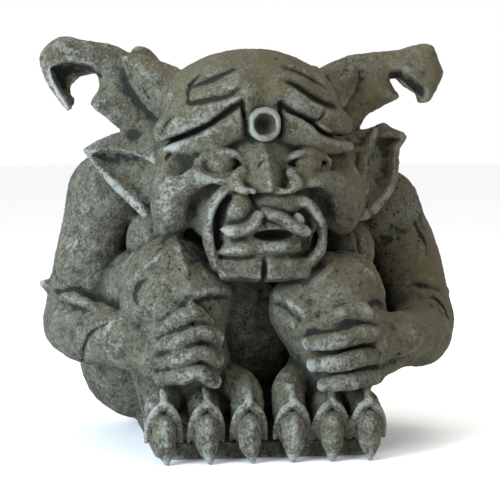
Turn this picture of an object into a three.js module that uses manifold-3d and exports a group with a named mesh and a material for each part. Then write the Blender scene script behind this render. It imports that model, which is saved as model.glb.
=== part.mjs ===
// A squatting stone gargoyle, cast in one piece: horned head with a third eye on the
// brow, arms round the knees, six clawed toes on a low foot slab.
// Millimetres, +Z up. The face looks along -Y and the underside lies on Z = 0.

import * as THREE from 'three';
import { mergeVertices } from 'three/addons/utils/BufferGeometryUtils.js';
import Module from 'manifold-3d';

const wasm = await Module();
wasm.setup();

// ---------------------------------------------------------------- driving dimensions

const LEFT = - 1; // the side at -X
const RIGHT = 1; // the side at +X, where shoulder, elbow and knee sit lower
const SIDES = [ LEFT, RIGHT ];

const HEAD_X = - 3; // the head leans a little towards -X
const TOES = [ - 69, - 41, - 13, 16, 42, 67 ]; // middle of each toe along X
const CLAW_LENGTH = 30; // from the nail fold down to the point
const CLAW_HALF_WIDTH = 8;
const CLAW_POINT_Y = - 118; // the foremost point of the feet
const HOOD_RADIUS = 3.4; // the skin fold over each claw
const SLAB = { halfWidth: 73, front: - 97, back: 70, height: 11, corner: 16 };
const FINGER_RADIUS = 6.6;
const RING = { z: 221, y: - 111, radius: 8.4, tube: 3.2, rootRadius: 11 }; // the rim of the third eye
const EYE_RADIUS = 10.5;

const TRUNK = [ // middle, half sizes
	[ [ 0, 50, 76 ], [ 86, 60, 84 ] ], // belly and lower back
	[ [ 0, 50, 116 ], [ 92, 63, 76 ] ], // middle of the back
	[ [ 0, 47, 152 ], [ 99, 60, 62 ] ], // hunched upper back
	[ [ 0, - 8, 100 ], [ 58, 38, 62 ] ], // belly behind the shins
	[ [ - 2, 12, 188 ], [ 56, 52, 34 ] ], // neck
];

const LIMBS = {
	[ LEFT ]: {
		hip: [ [ - 65, 44, 51 ], [ 51, 48, 46 ] ],
		thigh: { path: [ [ - 66, 46, 62 ], [ - 68, - 6, 98 ], [ - 58, - 58, 110 ] ], radii: [ 42, 38, 33 ] },
		knee: [ [ - 57, - 68, 106 ], [ 39, 30, 31 ] ],
		kneecap: [ [ - 59, - 66, 128 ], [ 23, 24, 17 ] ],
		shin: { path: [ [ - 57, - 72, 102 ], [ - 50, - 70, 73 ], [ - 42, - 62, 42 ] ], radii: [ 34, 27, 25 ] },
		calf: { path: [ [ - 62, - 30, 86 ], [ - 52, - 26, 30 ] ], radii: [ 32, 26 ] },
		shoulder: [ [ - 95, 13, 171 ], [ 30, 34, 30 ] ],
		upperArm: { path: [ [ - 96, 14, 172 ], [ - 108, 8, 138 ], [ - 120, 0, 86 ] ], radii: [ 28, 24, 23 ] },
		elbowSpur: { path: [ [ - 124, 2, 103 ], [ - 143, 4, 110 ] ], radii: [ 11, 3 ] },
		forearm: { path: [ [ - 121, - 4, 82 ], [ - 112, - 36, 79 ], [ - 92, - 74, 78 ] ], radii: [ 23, 22, 17 ] },
		chest: [ [ - 70, - 24, 140 ], [ 18, 22, 21 ] ],
		palm: { path: [ [ - 92, - 74, 78 ], [ - 70, - 94, 77 ] ], radii: [ 9, 9 ], wide: [ 2, 2.1 ] },
		fingers: [ // knuckle, middle joint, tip
			[ [ - 68, - 98, 91 ], [ - 52, - 108, 100 ], [ - 40, - 106, 91 ] ],
			[ [ - 68, - 100, 80 ], [ - 46, - 111, 87 ], [ - 31, - 103, 80 ] ],
			[ [ - 67, - 100, 67 ], [ - 47, - 111, 73 ], [ - 33, - 103, 66 ] ],
			[ [ - 67, - 99, 56 ], [ - 49, - 109, 59 ], [ - 35, - 102, 52 ] ],
		],
	},
	[ RIGHT ]: {
		hip: [ [ 57, 42, 49 ], [ 49, 47, 44 ] ],
		thigh: { path: [ [ 60, 44, 58 ], [ 60, - 8, 90 ], [ 50, - 58, 100 ] ], radii: [ 42, 38, 33 ] },
		knee: [ [ 46, - 70, 97 ], [ 41, 29, 31 ] ],
		kneecap: [ [ 57, - 64, 116 ], [ 24, 25, 18 ] ],
		shin: { path: [ [ 46, - 74, 92 ], [ 48, - 70, 66 ], [ 43, - 62, 38 ] ], radii: [ 35, 27, 25 ] },
		calf: { path: [ [ 56, - 30, 78 ], [ 52, - 26, 28 ] ], radii: [ 32, 26 ] },
		shoulder: [ [ 97, 13, 160 ], [ 31, 34, 29 ] ],
		upperArm: { path: [ [ 98, 14, 162 ], [ 115, 8, 130 ], [ 128, 0, 82 ] ], radii: [ 27, 25, 24 ] },
		elbowSpur: { path: [ [ 130, 2, 97 ], [ 147, 4, 99 ] ], radii: [ 10, 4 ] },
		forearm: { path: [ [ 129, - 4, 80 ], [ 117, - 36, 73 ], [ 95, - 74, 75 ] ], radii: [ 23, 22, 17 ] },
		chest: [ [ 72, - 20, 127 ], [ 21, 24, 26 ] ],
		palm: { path: [ [ 95, - 74, 75 ], [ 73, - 94, 76 ] ], radii: [ 9, 9 ], wide: [ 2, 2.1 ] },
		fingers: [
			[ [ 74, - 94, 96 ], [ 60, - 104, 101 ], [ 44, - 108, 93 ] ],
			[ [ 71, - 100, 83 ], [ 46, - 111, 80 ], [ 27, - 103, 78 ] ],
			[ [ 71, - 100, 69 ], [ 48, - 111, 65 ], [ 31, - 103, 63 ] ],
			[ [ 72, - 98, 55 ], [ 51, - 109, 53 ], [ 36, - 103, 49 ] ],
		],
	},
};

const FOREHEAD = [ [ HEAD_X - 1, - 48, 232 ], [ 60, 51, 40 ] ];
const SKULL = [
	FOREHEAD,
	[ [ HEAD_X, - 24, 206 ], [ 61, 62, 60 ] ], // cranium
	[ [ HEAD_X + 1, - 58, 182 ], [ 58, 42, 48 ] ], // face
	[ [ HEAD_X + 1, - 74, 148 ], [ 36, 29, 30 ] ], // jaw
	[ [ HEAD_X, - 88, 156 ], [ 31, 21, 26 ] ], // muzzle
];

const FEATURES = {
	[ LEFT ]: {
		brow: { path: [ [ - 64, - 66, 213 ], [ - 44, - 89, 219 ], [ - 25, - 98, 230 ], [ - 12, - 98, 240 ] ],
			radii: [ 8, 9, 9, 7 ] },
		lid: { path: [ [ - 57, - 80, 206 ], [ - 37, - 95, 210 ], [ - 20, - 101, 217 ] ], radii: [ 4.5, 8.5, 11 ] },
		lowerLid: { path: [ [ - 45, - 84, 194 ], [ - 31, - 96, 188 ], [ - 14, - 100, 195 ] ],
			radii: [ 2.6, 3.4, 2.6 ] },
		eye: [ - 30, - 87, 195.5 ],
		cheek: { path: [ [ - 16, - 104, 187 ], [ - 34, - 97, 189 ], [ - 52, - 82, 184 ],
			[ - 58, - 70, 168 ], [ - 50, - 70, 148 ] ],
			radii: [ 5, 6, 8, 9, 8 ] },
		hollow: { path: [ [ - 30, - 98, 180 ], [ - 44, - 92, 170 ], [ - 43, - 88, 150 ] ], radii: [ 3, 6.5, 5 ] },
		smileFold: { path: [ [ - 21, - 103, 181 ], [ - 32, - 104, 171 ], [ - 38, - 98, 155 ], [ - 34, - 90, 132 ] ],
			radii: [ 5, 5.4, 5.4, 5 ] },
		upperLip: { path: [ [ - 32, - 103, 153 ], [ - 21, - 110, 149 ], [ - 11, - 114, 154 ], [ - 5, - 113, 162 ] ],
			radii: [ 4.2, 5, 4.6, 3.6 ] },
		lowerLip: { path: [ [ - 23, - 99, 140 ], [ - 7, - 103, 138 ] ], radii: [ 5.6, 6.4 ] },
		chin: [ [ - 18, - 88, 129 ], [ 15, 13, 11 ] ],
		nostril: [ - 15, - 113, 180 ],
		noseWing: [ [ - 15, - 108, 183 ], [ 8, 8, 8 ] ],
	},
	[ RIGHT ]: {
		brow: { path: [ [ 57, - 66, 217 ], [ 41, - 86, 222 ], [ 26, - 95, 231 ], [ 11, - 98, 240 ] ],
			radii: [ 8, 9, 9, 7 ] },
		lid: { path: [ [ 60, - 74, 207 ], [ 39, - 93, 210 ], [ 20, - 100, 216 ] ], radii: [ 4.5, 8, 10.5 ] },
		lowerLid: { path: [ [ 43, - 84, 193 ], [ 27, - 95, 190 ], [ 13, - 99, 196 ] ], radii: [ 2.6, 3.4, 2.6 ] },
		eye: [ 27, - 87, 197 ],
		cheek: { path: [ [ 13, - 103, 187 ], [ 32, - 95, 190 ], [ 50, - 82, 186 ],
			[ 58, - 68, 170 ], [ 50, - 68, 150 ] ],
			radii: [ 5, 6, 8, 9, 8 ] },
		hollow: { path: [ [ 31, - 96, 180 ], [ 46, - 88, 170 ], [ 44, - 86, 150 ] ], radii: [ 3, 6.5, 5 ] },
		smileFold: { path: [ [ 19, - 103, 180 ], [ 32, - 101, 168 ], [ 38, - 96, 152 ], [ 28, - 89, 127 ] ],
			radii: [ 5, 5.4, 5.4, 5 ] },
		upperLip: { path: [ [ 33, - 103, 151 ], [ 22, - 109, 149 ], [ 12, - 113, 154 ], [ 3, - 113, 162 ] ],
			radii: [ 4.2, 4.8, 4.6, 3.6 ] },
		lowerLip: { path: [ [ 21, - 99, 139 ], [ 0, - 103, 138 ] ], radii: [ 5.2, 6 ] },
		chin: [ [ 17, - 88, 129 ], [ 17, 13, 11 ] ],
		nostril: [ 11, - 113, 180 ],
		noseWing: [ [ 11, - 107, 183 ], [ 8, 8, 8 ] ],
	},
};

const NOSE = { path: [ [ HEAD_X, - 94, 224 ], [ - 4, - 102, 206 ], [ - 2.5, - 114, 187 ] ],
	radii: [ 11.5, 7, 10.5 ] };
const MOUTH = [ [ 5, - 112, 147 ], [ 11, 9, 3.4 ] ];

const EARS = {
	[ LEFT ]: {
		blade: { path: [ [ - 52, - 40, 178 ], [ - 80, - 31, 187 ], [ - 103, - 24, 199 ], [ - 115, - 19, 205 ] ],
			radii: [ 10, 9, 7, 3 ], wide: [ 2.9, 2.8, 1.7, 1 ] },
		cup: { path: [ [ - 60, - 51, 178 ], [ - 82, - 41, 186 ], [ - 105, - 31, 198 ] ],
			radii: [ 10, 9, 4 ], wide: [ 2.1, 2.2, 1.5 ] },
	},
	[ RIGHT ]: {
		blade: { path: [ [ 54, - 40, 182 ], [ 80, - 31, 189 ], [ 99, - 24, 202 ], [ 112, - 19, 212 ] ],
			radii: [ 10, 9, 7, 3 ], wide: [ 2.9, 3.3, 2.3, 1 ] },
		cup: { path: [ [ 64, - 51, 183 ], [ 84, - 41, 191 ], [ 101, - 31, 204 ] ],
			radii: [ 10, 9, 4 ], wide: [ 2.1, 2.6, 1.7 ] },
	},
};

const HORNS = {
	[ LEFT ]: {
		root: { path: [ [ - 50, - 18, 230 ], [ - 72, - 16, 241 ], [ - 97, - 14, 250 ] ],
			radii: [ 16, 15, 13 ], wide: [ 1.8, 1.8, 1.6 ] },
		hook: { path: [ [ - 86, - 12, 257 ], [ - 110, - 14, 263 ], [ - 129, - 18, 269 ],
			[ - 136, - 24, 252 ], [ - 127, - 30, 235 ] ],
			radii: [ 13, 13.5, 14, 11, 6 ] },
		scoop: { path: [ [ - 104, - 32, 250 ], [ - 121, - 34, 255 ], [ - 129, - 38, 245 ], [ - 126, - 39, 230 ] ],
			radii: [ 7, 10, 8, 3 ] },
		fin: { path: [ [ - 84, - 16, 236 ], [ - 98, - 18, 236 ], [ - 110, - 19, 234 ] ], radii: [ 14, 10, 2.5 ] },
		fold: { path: [ [ - 82, - 26, 258 ], [ - 68, - 38, 249 ], [ - 58, - 42, 232 ] ], radii: [ 12, 15, 13 ] },
		lobe: [ [ - 64, 2, 258 ], [ 16, 14, 12 ] ],
	},
	[ RIGHT ]: {
		root: { path: [ [ 46, - 18, 234 ], [ 68, - 16, 244 ], [ 92, - 14, 252 ] ],
			radii: [ 15, 14, 12 ], wide: [ 1.7, 1.7, 1.5 ] },
		hook: { path: [ [ 84, - 12, 259 ], [ 110, - 12, 265 ], [ 126, - 16, 263 ],
			[ 129, - 22, 250 ], [ 119, - 28, 238 ] ],
			radii: [ 12, 11, 12, 10, 5 ] },
		scoop: { path: [ [ 98, - 26, 250 ], [ 113, - 28, 250 ], [ 116, - 32, 240 ], [ 110, - 34, 230 ] ],
			radii: [ 5, 7, 6, 3 ] },
		fin: { path: [ [ 78, - 16, 240 ], [ 92, - 18, 241 ], [ 104, - 19, 241 ] ], radii: [ 13, 10, 3 ] },
		fold: { path: [ [ 74, - 22, 256 ], [ 60, - 32, 250 ], [ 50, - 38, 240 ] ], radii: [ 11, 13, 12 ] },
		lobe: [ [ 44, 2, 257 ], [ 15, 13, 9 ] ],
	},
};

// Carved lines on the forehead: X and Z along each, and half widths. The form gives Y.
const GROOVES = [
	{ line: [ [ - 47, 246 ], [ - 30, 251 ], [ - 15, 258 ] ], halfWidths: [ 1.2, 2.4, 1.2 ] },
	{ line: [ [ - 50, 234 ], [ - 33, 236 ], [ - 18, 241 ], [ - 8, 251 ] ], halfWidths: [ 1.2, 2.8, 2.8, 1.2 ] },
	{ line: [ [ 15, 258 ], [ 31, 253 ], [ 45, 245 ] ], halfWidths: [ 1.2, 2.2, 1.2 ] },
	{ line: [ [ 10, 250 ], [ 22, 245 ], [ 37, 236 ], [ 54, 232 ] ], halfWidths: [ 1.4, 3, 3.6, 1.4 ] },
];

const SPINE = { knobs: 6, top: 196, bottom: 46, half: [ 9, 7, 10 ] };

// Longest edge drawn in, and the cosine by which its facets may swing, for each pass.
const SLIVER_PASSES = [ [ 0.5, 0.2 ], [ 1.2, 0.7 ], [ 2.5, 0.93 ], [ 4.5, 0.97 ], [ 9, 0.985 ] ];

// ----------------------------------------------------------------------- form helpers

// Turns a three.js geometry into a solid that can be joined and cut.
function solid( geometry ) {

	geometry.deleteAttribute( 'normal' );
	geometry.deleteAttribute( 'uv' );
	const merged = mergeVertices( geometry, 1e-4 );
	return new wasm.Manifold( new wasm.Mesh( {
		numProp: 3,
		vertProperties: new Float32Array( merged.attributes.position.array ),
		triVerts: new Uint32Array( merged.index.array ),
	} ) );

}

// An egg form: middle and half sizes, and how many facets go round it.
function egg( [ middle, half ], around = 12 ) {

	const geometry = new THREE.SphereGeometry( 1, around, Math.max( 4, Math.round( around * 0.6 ) ) );
	geometry.scale( ...half );
	geometry.translate( ...middle );
	return solid( geometry );

}

// A value read from evenly spaced stations, at u from 0 to 1.
function station( values, u ) {

	const place = THREE.MathUtils.clamp( u, 0, 1 ) * ( values.length - 1 );
	const index = Math.min( Math.floor( place ), values.length - 2 );
	return THREE.MathUtils.lerp( values[ index ], values[ index + 1 ], place - index );

}

// The axis that lies most nearly square to a direction.
function squareTo( direction ) {

	const axes = [ new THREE.Vector3( 1, 0, 0 ), new THREE.Vector3( 0, 1, 0 ), new THREE.Vector3( 0, 0, 1 ) ];
	return axes.sort( ( a, b ) => Math.abs( a.dot( direction ) ) - Math.abs( b.dot( direction ) ) )[ 0 ];

}

// A round-ended limb along a smooth path. Radii are half thicknesses along Y, and wide is
// how many times broader the section is across the path.
function limb( { path, radii, wide = null }, around = 8, steps = 3 ) {

	const curve = new THREE.CatmullRomCurve3( path.map( ( point ) => new THREE.Vector3( ...point ) ) );
	const rows = steps * ( path.length - 1 );
	const geometry = new THREE.CapsuleGeometry( 1, 1, 2, around, rows );
	const position = geometry.attributes.position;
	const whole = curve.getPoint( 1 ).sub( curve.getPoint( 0 ) );
	const facing = wide ? new THREE.Vector3( 0, 1, 0 ) : squareTo( whole );

	for ( let i = 0; i < position.count; i ++ ) {

		const row = position.getY( i );
		const u = THREE.MathUtils.clamp( row + 0.5, 0, 1 );
		const beyond = row > 0 ? Math.max( 0, row - 0.5 ) : Math.min( 0, row + 0.5 );
		const along = curve.getTangent( u );
		const across = new THREE.Vector3().crossVectors( facing, along ).normalize();
		const through = new THREE.Vector3().crossVectors( along, across );
		const radius = station( radii, u );
		const breadth = wide ? station( wide, u ) : 1;
		const point = curve.getPoint( u )
			.addScaledVector( along, beyond * radius )
			.addScaledVector( across, - position.getX( i ) * radius * breadth )
			.addScaledVector( through, position.getZ( i ) * radius );
		position.setXYZ( i, point.x, point.y, point.z );

	}

	return solid( geometry );

}

function union( solids ) {

	return wasm.Manifold.union( solids );

}

// ---------------------------------------------------------------------------- the body

function footSlab() {

	const { halfWidth, front, back, height, corner } = SLAB;
	const outline = new THREE.Shape();
	outline.moveTo( - halfWidth + corner, front );
	outline.lineTo( halfWidth - corner, front );
	outline.quadraticCurveTo( halfWidth, front, halfWidth, front + corner );
	outline.lineTo( halfWidth, back );
	outline.lineTo( - halfWidth, back );
	outline.lineTo( - halfWidth, front + corner );
	outline.quadraticCurveTo( - halfWidth, front, - halfWidth + corner, front );
	const options = { depth: height, bevelEnabled: false, curveSegments: 3 };
	return solid( new THREE.ExtrudeGeometry( outline, options ) );

}

// One toe with its claw and the fold of skin that hoods the claw.
function toe( x ) {

	const ankle = x < 0 ? - 42 : 43;
	const inner = Math.abs( x ) < 20;
	const rise = inner ? 50 : 42;
	const lean = x < 0 ? - 1.5 : 1.5; // the claw's point leans towards the outside
	const clawTop = CLAW_LENGTH + 3;
	const root = THREE.MathUtils.lerp( ankle, x, 0.6 );
	const body = {
		path: [ [ root, - 70, rise ], [ x, - 94, rise - 8 ], [ x, - 103, 22 ] ],
		radii: [ 13, 12, 12 ],
	};
	const claw = {
		path: [
			[ x, - 102, clawTop ],
			[ x, - 109, clawTop * 0.7 ],
			[ x, - 113, clawTop * 0.35 ],
			[ x - lean, CLAW_POINT_Y + 1.5, 2 ],
		],
		radii: [ 5, CLAW_HALF_WIDTH, CLAW_HALF_WIDTH * 0.85, 1.6 ],
	};
	const hood = {
		path: [
			[ x - 11, - 106, 16 ],
			[ x - 7, - 109, 31 ],
			[ x, - 110, 38 ],
			[ x + 7, - 109, 31 ],
			[ x + 11, - 106, 16 ],
		],
		radii: [ 2.4, HOOD_RADIUS, HOOD_RADIUS, HOOD_RADIUS, 2.4 ],
	};
	return [ limb( body, 7, 1 ), limb( claw, 8, 1 ), limb( hood, 5, 1 ) ];

}

// How far back the trunk reaches on its middle line at a height.
function backAt( z ) {

	return Math.max( ...TRUNK.map( ( [ middle, half ] ) => {

		const level = ( z - middle[ 2 ] ) / half[ 2 ];
		return Math.abs( level ) < 1 ? middle[ 1 ] + half[ 1 ] * Math.sqrt( 1 - level * level ) : 0;

	} ) );

}

function spine() {

	const { knobs, top, bottom, half } = SPINE;
	return Array.from( { length: knobs }, ( _, i ) => {

		const z = THREE.MathUtils.lerp( bottom, top, i / ( knobs - 1 ) );
		return egg( [ [ 0, backAt( z ), z ], half ], 6 );

	} );

}

function side( which ) {

	const form = LIMBS[ which ];
	const solids = [
		egg( form.hip, 18 ),
		limb( form.thigh, 14 ),
		egg( form.knee, 18 ),
		egg( form.kneecap, 14 ),
		limb( form.shin, 14 ),
		limb( form.calf, 12 ),
		egg( form.shoulder, 16 ),
		limb( form.upperArm, 14 ),
		limb( form.elbowSpur, 8, 1 ),
		limb( form.forearm, 14 ),
		egg( form.chest, 14 ),
		limb( form.palm, 10 ),
	];

	for ( const path of form.fingers ) {

		solids.push( limb( { path, radii: [ FINGER_RADIUS, FINGER_RADIUS, FINGER_RADIUS * 0.8 ] } ) );

	}

	return solids;

}

// ---------------------------------------------------------------------------- the head

function face( which ) {

	const form = FEATURES[ which ];
	return [
		limb( form.brow ),
		limb( form.lid, 8 ),
		limb( form.lowerLid, 5, 1 ),
		egg( [ form.eye, [ EYE_RADIUS, EYE_RADIUS, EYE_RADIUS * 0.8 ] ] ),
		limb( form.cheek, 8, 2 ),
		limb( form.smileFold, 6, 1 ),
		limb( form.upperLip, 6, 1 ),
		limb( form.lowerLip ),
		egg( form.chin ),
		egg( form.noseWing, 6 ),
	];

}

function ear( which ) {

	const { blade, cup } = EARS[ which ];
	return limb( blade, 14 ).subtract( limb( cup, 12 ) );

}

function horn( which ) {

	const { root, hook, scoop, fin, fold, lobe } = HORNS[ which ];
	return union( [
		limb( root, 12 ),
		limb( hook, 12 ).subtract( limb( scoop, 10 ) ),
		limb( fin, 10 ),
		limb( fold, 12 ),
		egg( lobe ),
	] );

}

function thirdEye() {

	const rim = new THREE.TorusGeometry( RING.radius, RING.tube, 8, 18 );
	rim.rotateX( Math.PI / 2 );
	rim.translate( HEAD_X, RING.y, RING.z );
	const pit = egg( [ [ HEAD_X, RING.y - 2, RING.z ], [ RING.radius - 1.5, 8, RING.radius - 1.5 ] ] );
	const stalk = egg( [ [ HEAD_X, RING.y + 6, RING.z ], [ RING.rootRadius, 8, RING.rootRadius ] ] );
	return { rim: solid( rim ).add( stalk ), pit };

}

// A carved line laid along the forehead, sunk by half its own width.
function groove( { line, halfWidths } ) {

	const [ middle, half ] = FOREHEAD;
	const path = line.map( ( [ x, z ] ) => {

		const off = ( ( x - middle[ 0 ] ) / half[ 0 ] ) ** 2 + ( ( z - middle[ 2 ] ) / half[ 2 ] ) ** 2;
		return [ x, middle[ 1 ] - half[ 1 ] * Math.sqrt( Math.max( 0, 1 - off ) ), z ];

	} );
	return limb( { path, radii: halfWidths }, 6, 2 );

}

function headCuts( pit ) {

	const nostrils = SIDES.map( ( which ) => egg( [ FEATURES[ which ].nostril, [ 3, 4, 2.4 ] ], 6 ) );
	const hollows = SIDES.map( ( which ) => limb( FEATURES[ which ].hollow, 8, 2 ) );
	const cleft = egg( [ [ HEAD_X + 1, - 104, 130 ], [ 2.6, 8, 9 ] ], 6 );
	return union( [ ...nostrils, ...hollows, cleft, pit, egg( MOUTH ), ...GROOVES.map( groove ) ] );

}

function head() {

	const eye = thirdEye();
	const skull = union( [
		...SKULL.map( ( form ) => egg( form, 20 ) ),
		...SIDES.flatMap( ( which ) => face( which ) ),
		limb( NOSE, 10 ),
		eye.rim,
	] );
	return union( [
		skull.subtract( headCuts( eye.pit ) ),
		...SIDES.map( ear ),
		...SIDES.map( horn ),
	] );

}

// ------------------------------------------------------------------------ the gargoyle

function gargoyle() {

	const whole = union( [
		...TRUNK.map( ( form ) => egg( form, 22 ) ),
		...SIDES.flatMap( ( which ) => side( which ) ),
		...TOES.flatMap( ( x ) => toe( x ) ),
		...spine(),
		footSlab(),
		head(),
	] );
	const ground = new THREE.BoxGeometry( 600, 600, 200 );
	ground.translate( 0, 0, - 100 );
	return whole.subtract( solid( ground ) );

}

// Gives a solid's surface back as a three.js geometry with flat facets.
function surface( form ) {

	const mesh = form.getMesh();
	const points = Array.from( { length: mesh.vertProperties.length / 3 },
		( _, i ) => new THREE.Vector3().fromArray( mesh.vertProperties, 3 * i ) );
	const facets = Array.from( { length: mesh.triVerts.length / 3 },
		( _, i ) => [ ...mesh.triVerts.subarray( 3 * i, 3 * i + 3 ) ] );

	for ( const [ longest, steadiness ] of SLIVER_PASSES ) drawTogether( points, facets, longest, steadiness );

	const used = [ ...new Set( facets.flat() ) ];
	const place = new Map( used.map( ( point, i ) => [ point, i ] ) );
	const geometry = new THREE.BufferGeometry();
	const flat = used.flatMap( ( i ) => points[ i ].toArray() );
	geometry.setAttribute( 'position', new THREE.Float32BufferAttribute( flat, 3 ) );
	geometry.setIndex( facets.flat().map( ( i ) => place.get( i ) ) );
	geometry.computeVertexNormals();
	return geometry;

}

function facing( points, facet ) {

	const [ a, b, c ] = facet.map( ( i ) => points[ i ] );
	return new THREE.Vector3().crossVectors( b.clone().sub( a ), c.clone().sub( a ) );

}

// The cosine between a facet's facings before and after, where a sliver may turn freely.
function likeness( after, before ) {

	if ( after.length() < 2e-3 ) return - 1;
	return before.length() < 0.05 ? 1 : after.dot( before ) / ( after.length() * before.length() );

}

// Draws the ends of short edges together, so that the seams left by joining forms hold no
// slivers. An edge stays where drawing it in would open, pinch or turn over the surface,
// or swing a facet by more than the steadiness, a cosine, allows. Only points on the
// ground plane move along it.
function drawTogether( points, facets, longest, steadiness ) {

	const around = points.map( () => new Set() );
	for ( const facet of facets ) for ( const i of facet ) around[ i ].add( facet );
	const neighbours = ( i ) => new Set( [ ...around[ i ] ].flat().filter( ( j ) => j !== i ) );

	const lengthOf = ( [ a, b ] ) => points[ a ].distanceTo( points[ b ] );

	const edges = facets.flatMap( ( [ a, b, c ] ) => [ [ a, b ], [ b, c ], [ c, a ] ] )
		.filter( ( edge ) => edge[ 0 ] < edge[ 1 ] && lengthOf( edge ) < longest )
		.map( ( edge ) => ( { edge, length: lengthOf( edge ) } ) )
		.sort( ( e, f ) => e.length - f.length )
		.map( ( { edge } ) => edge );

	for ( const [ a, b ] of edges ) {

		const shared = [ ...around[ a ] ].filter( ( facet ) => around[ b ].has( facet ) );
		const common = [ ...neighbours( a ) ].filter( ( i ) => neighbours( b ).has( i ) );
		if ( shared.length !== 2 || common.length !== 2 ) continue;
		if ( lengthOf( [ a, b ] ) > longest ) continue;

		const changed = [ ...around[ a ], ...around[ b ] ].filter( ( facet ) => ! shared.includes( facet ) );
		const kept = [ points[ a ], points[ b ] ];
		const before = changed.map( ( facet ) => facing( points, facet ) );
		const grounded = kept.filter( ( point ) => Math.abs( point.z ) < 1e-4 );
		const targets = grounded.length === 1 ? grounded : [ ...kept, kept[ 0 ].clone().lerp( kept[ 1 ], 0.5 ) ];
		const best = targets.map( ( target ) => {

			points[ a ] = target;
			points[ b ] = target;
			const swings = changed.map( ( facet, i ) => likeness( facing( points, facet ), before[ i ] ) );
			return { target, swing: Math.min( ...swings ) };

		} ).sort( ( s, t ) => t.swing - s.swing )[ 0 ];

		if ( best.swing < steadiness ) {

			[ points[ a ], points[ b ] ] = kept;
			continue;

		}

		points[ a ] = best.target.clone();

		for ( const facet of shared ) {

			facets.splice( facets.indexOf( facet ), 1 );
			for ( const i of facet ) around[ i ].delete( facet );

		}

		for ( const facet of around[ b ] ) {

			facet[ facet.indexOf( b ) ] = a;
			around[ a ].add( facet );

		}

		around[ b ].clear();

	}

}

const stone = new THREE.MeshStandardMaterial( { color: 0x7d8078, roughness: 0.85, metalness: 0 } );

const statue = new THREE.Mesh( surface( gargoyle() ), stone );
statue.name = 'gargoyle';

const group = new THREE.Group();
group.add( statue );

export default group;
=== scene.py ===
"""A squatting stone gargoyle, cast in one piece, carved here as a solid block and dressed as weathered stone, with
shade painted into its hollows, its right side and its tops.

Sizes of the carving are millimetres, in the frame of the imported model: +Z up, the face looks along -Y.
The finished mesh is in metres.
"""

import logging
import math
from dataclasses import dataclass, field
from enum import Enum
from itertools import combinations

import bmesh
import bpy
import numpy as np
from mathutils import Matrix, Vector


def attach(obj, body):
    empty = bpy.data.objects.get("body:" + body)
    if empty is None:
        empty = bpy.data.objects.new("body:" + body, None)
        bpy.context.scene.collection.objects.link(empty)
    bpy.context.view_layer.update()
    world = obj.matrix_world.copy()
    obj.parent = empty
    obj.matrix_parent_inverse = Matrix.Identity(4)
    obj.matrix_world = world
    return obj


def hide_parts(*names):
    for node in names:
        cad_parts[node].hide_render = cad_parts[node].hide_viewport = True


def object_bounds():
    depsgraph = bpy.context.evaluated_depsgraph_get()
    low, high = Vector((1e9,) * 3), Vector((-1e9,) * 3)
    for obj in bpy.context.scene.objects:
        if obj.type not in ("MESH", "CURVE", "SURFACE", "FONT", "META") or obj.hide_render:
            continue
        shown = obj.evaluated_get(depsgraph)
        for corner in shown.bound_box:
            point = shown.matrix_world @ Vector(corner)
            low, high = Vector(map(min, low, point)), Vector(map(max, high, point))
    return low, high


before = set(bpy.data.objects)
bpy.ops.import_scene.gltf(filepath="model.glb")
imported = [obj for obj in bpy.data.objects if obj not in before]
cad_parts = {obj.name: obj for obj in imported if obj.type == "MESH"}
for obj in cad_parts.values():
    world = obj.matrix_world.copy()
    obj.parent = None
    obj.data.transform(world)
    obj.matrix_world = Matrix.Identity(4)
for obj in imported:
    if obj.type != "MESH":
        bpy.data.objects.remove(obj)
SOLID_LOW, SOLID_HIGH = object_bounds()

import openvdb
from mathutils import Vector

MM = 0.001
HEAD_X = -3.0
SEED = 7

Point = tuple[float, float, float]
Line = list[tuple[float, float]]

log = logging.getLogger("gargoyle")
logging.basicConfig(level=logging.INFO, format="%(message)s")


class Side(Enum):
    """The gargoyle's two sides, by the sign of X."""

    LEFT = -1
    RIGHT = 1


# ------------------------------------------------------------------ carving forms


def smooth_line(points: list, count: int) -> np.ndarray:
    """Runs a smooth curve through a few points.

    Args:
        points: The points to pass through, of any dimension.
        count: How many points to return for each stretch between two of them.

    Returns:
        The points of the curve, both ends included.
    """
    given = np.array(points, dtype=float)
    padded = np.vstack([2 * given[0] - given[1], given, 2 * given[-1] - given[-2]])
    made = []
    for i in range(len(given) - 1):
        a, b, c, d = padded[i : i + 4]
        for t in np.linspace(0, 1, count, endpoint=False):
            made.append(
                0.5 * (2 * b + (c - a) * t + (2 * a - 5 * b + 4 * c - d) * t**2 + (3 * b - a - 3 * c + d) * t**3)
            )
    made.append(given[-1])
    return np.array(made)


def stations(values: list[float], count: int) -> np.ndarray:
    """Spreads a few evenly spaced values over more stations.

    Args:
        values: The given values, first to last.
        count: How many values to return.

    Returns:
        The values at evenly spaced stations.
    """
    return np.interp(np.linspace(0, len(values) - 1, count), np.arange(len(values)), values)


def unit(vector: np.ndarray) -> np.ndarray:
    """Returns a vector at length one."""
    return vector / (np.linalg.norm(vector) + 1e-12)


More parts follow.
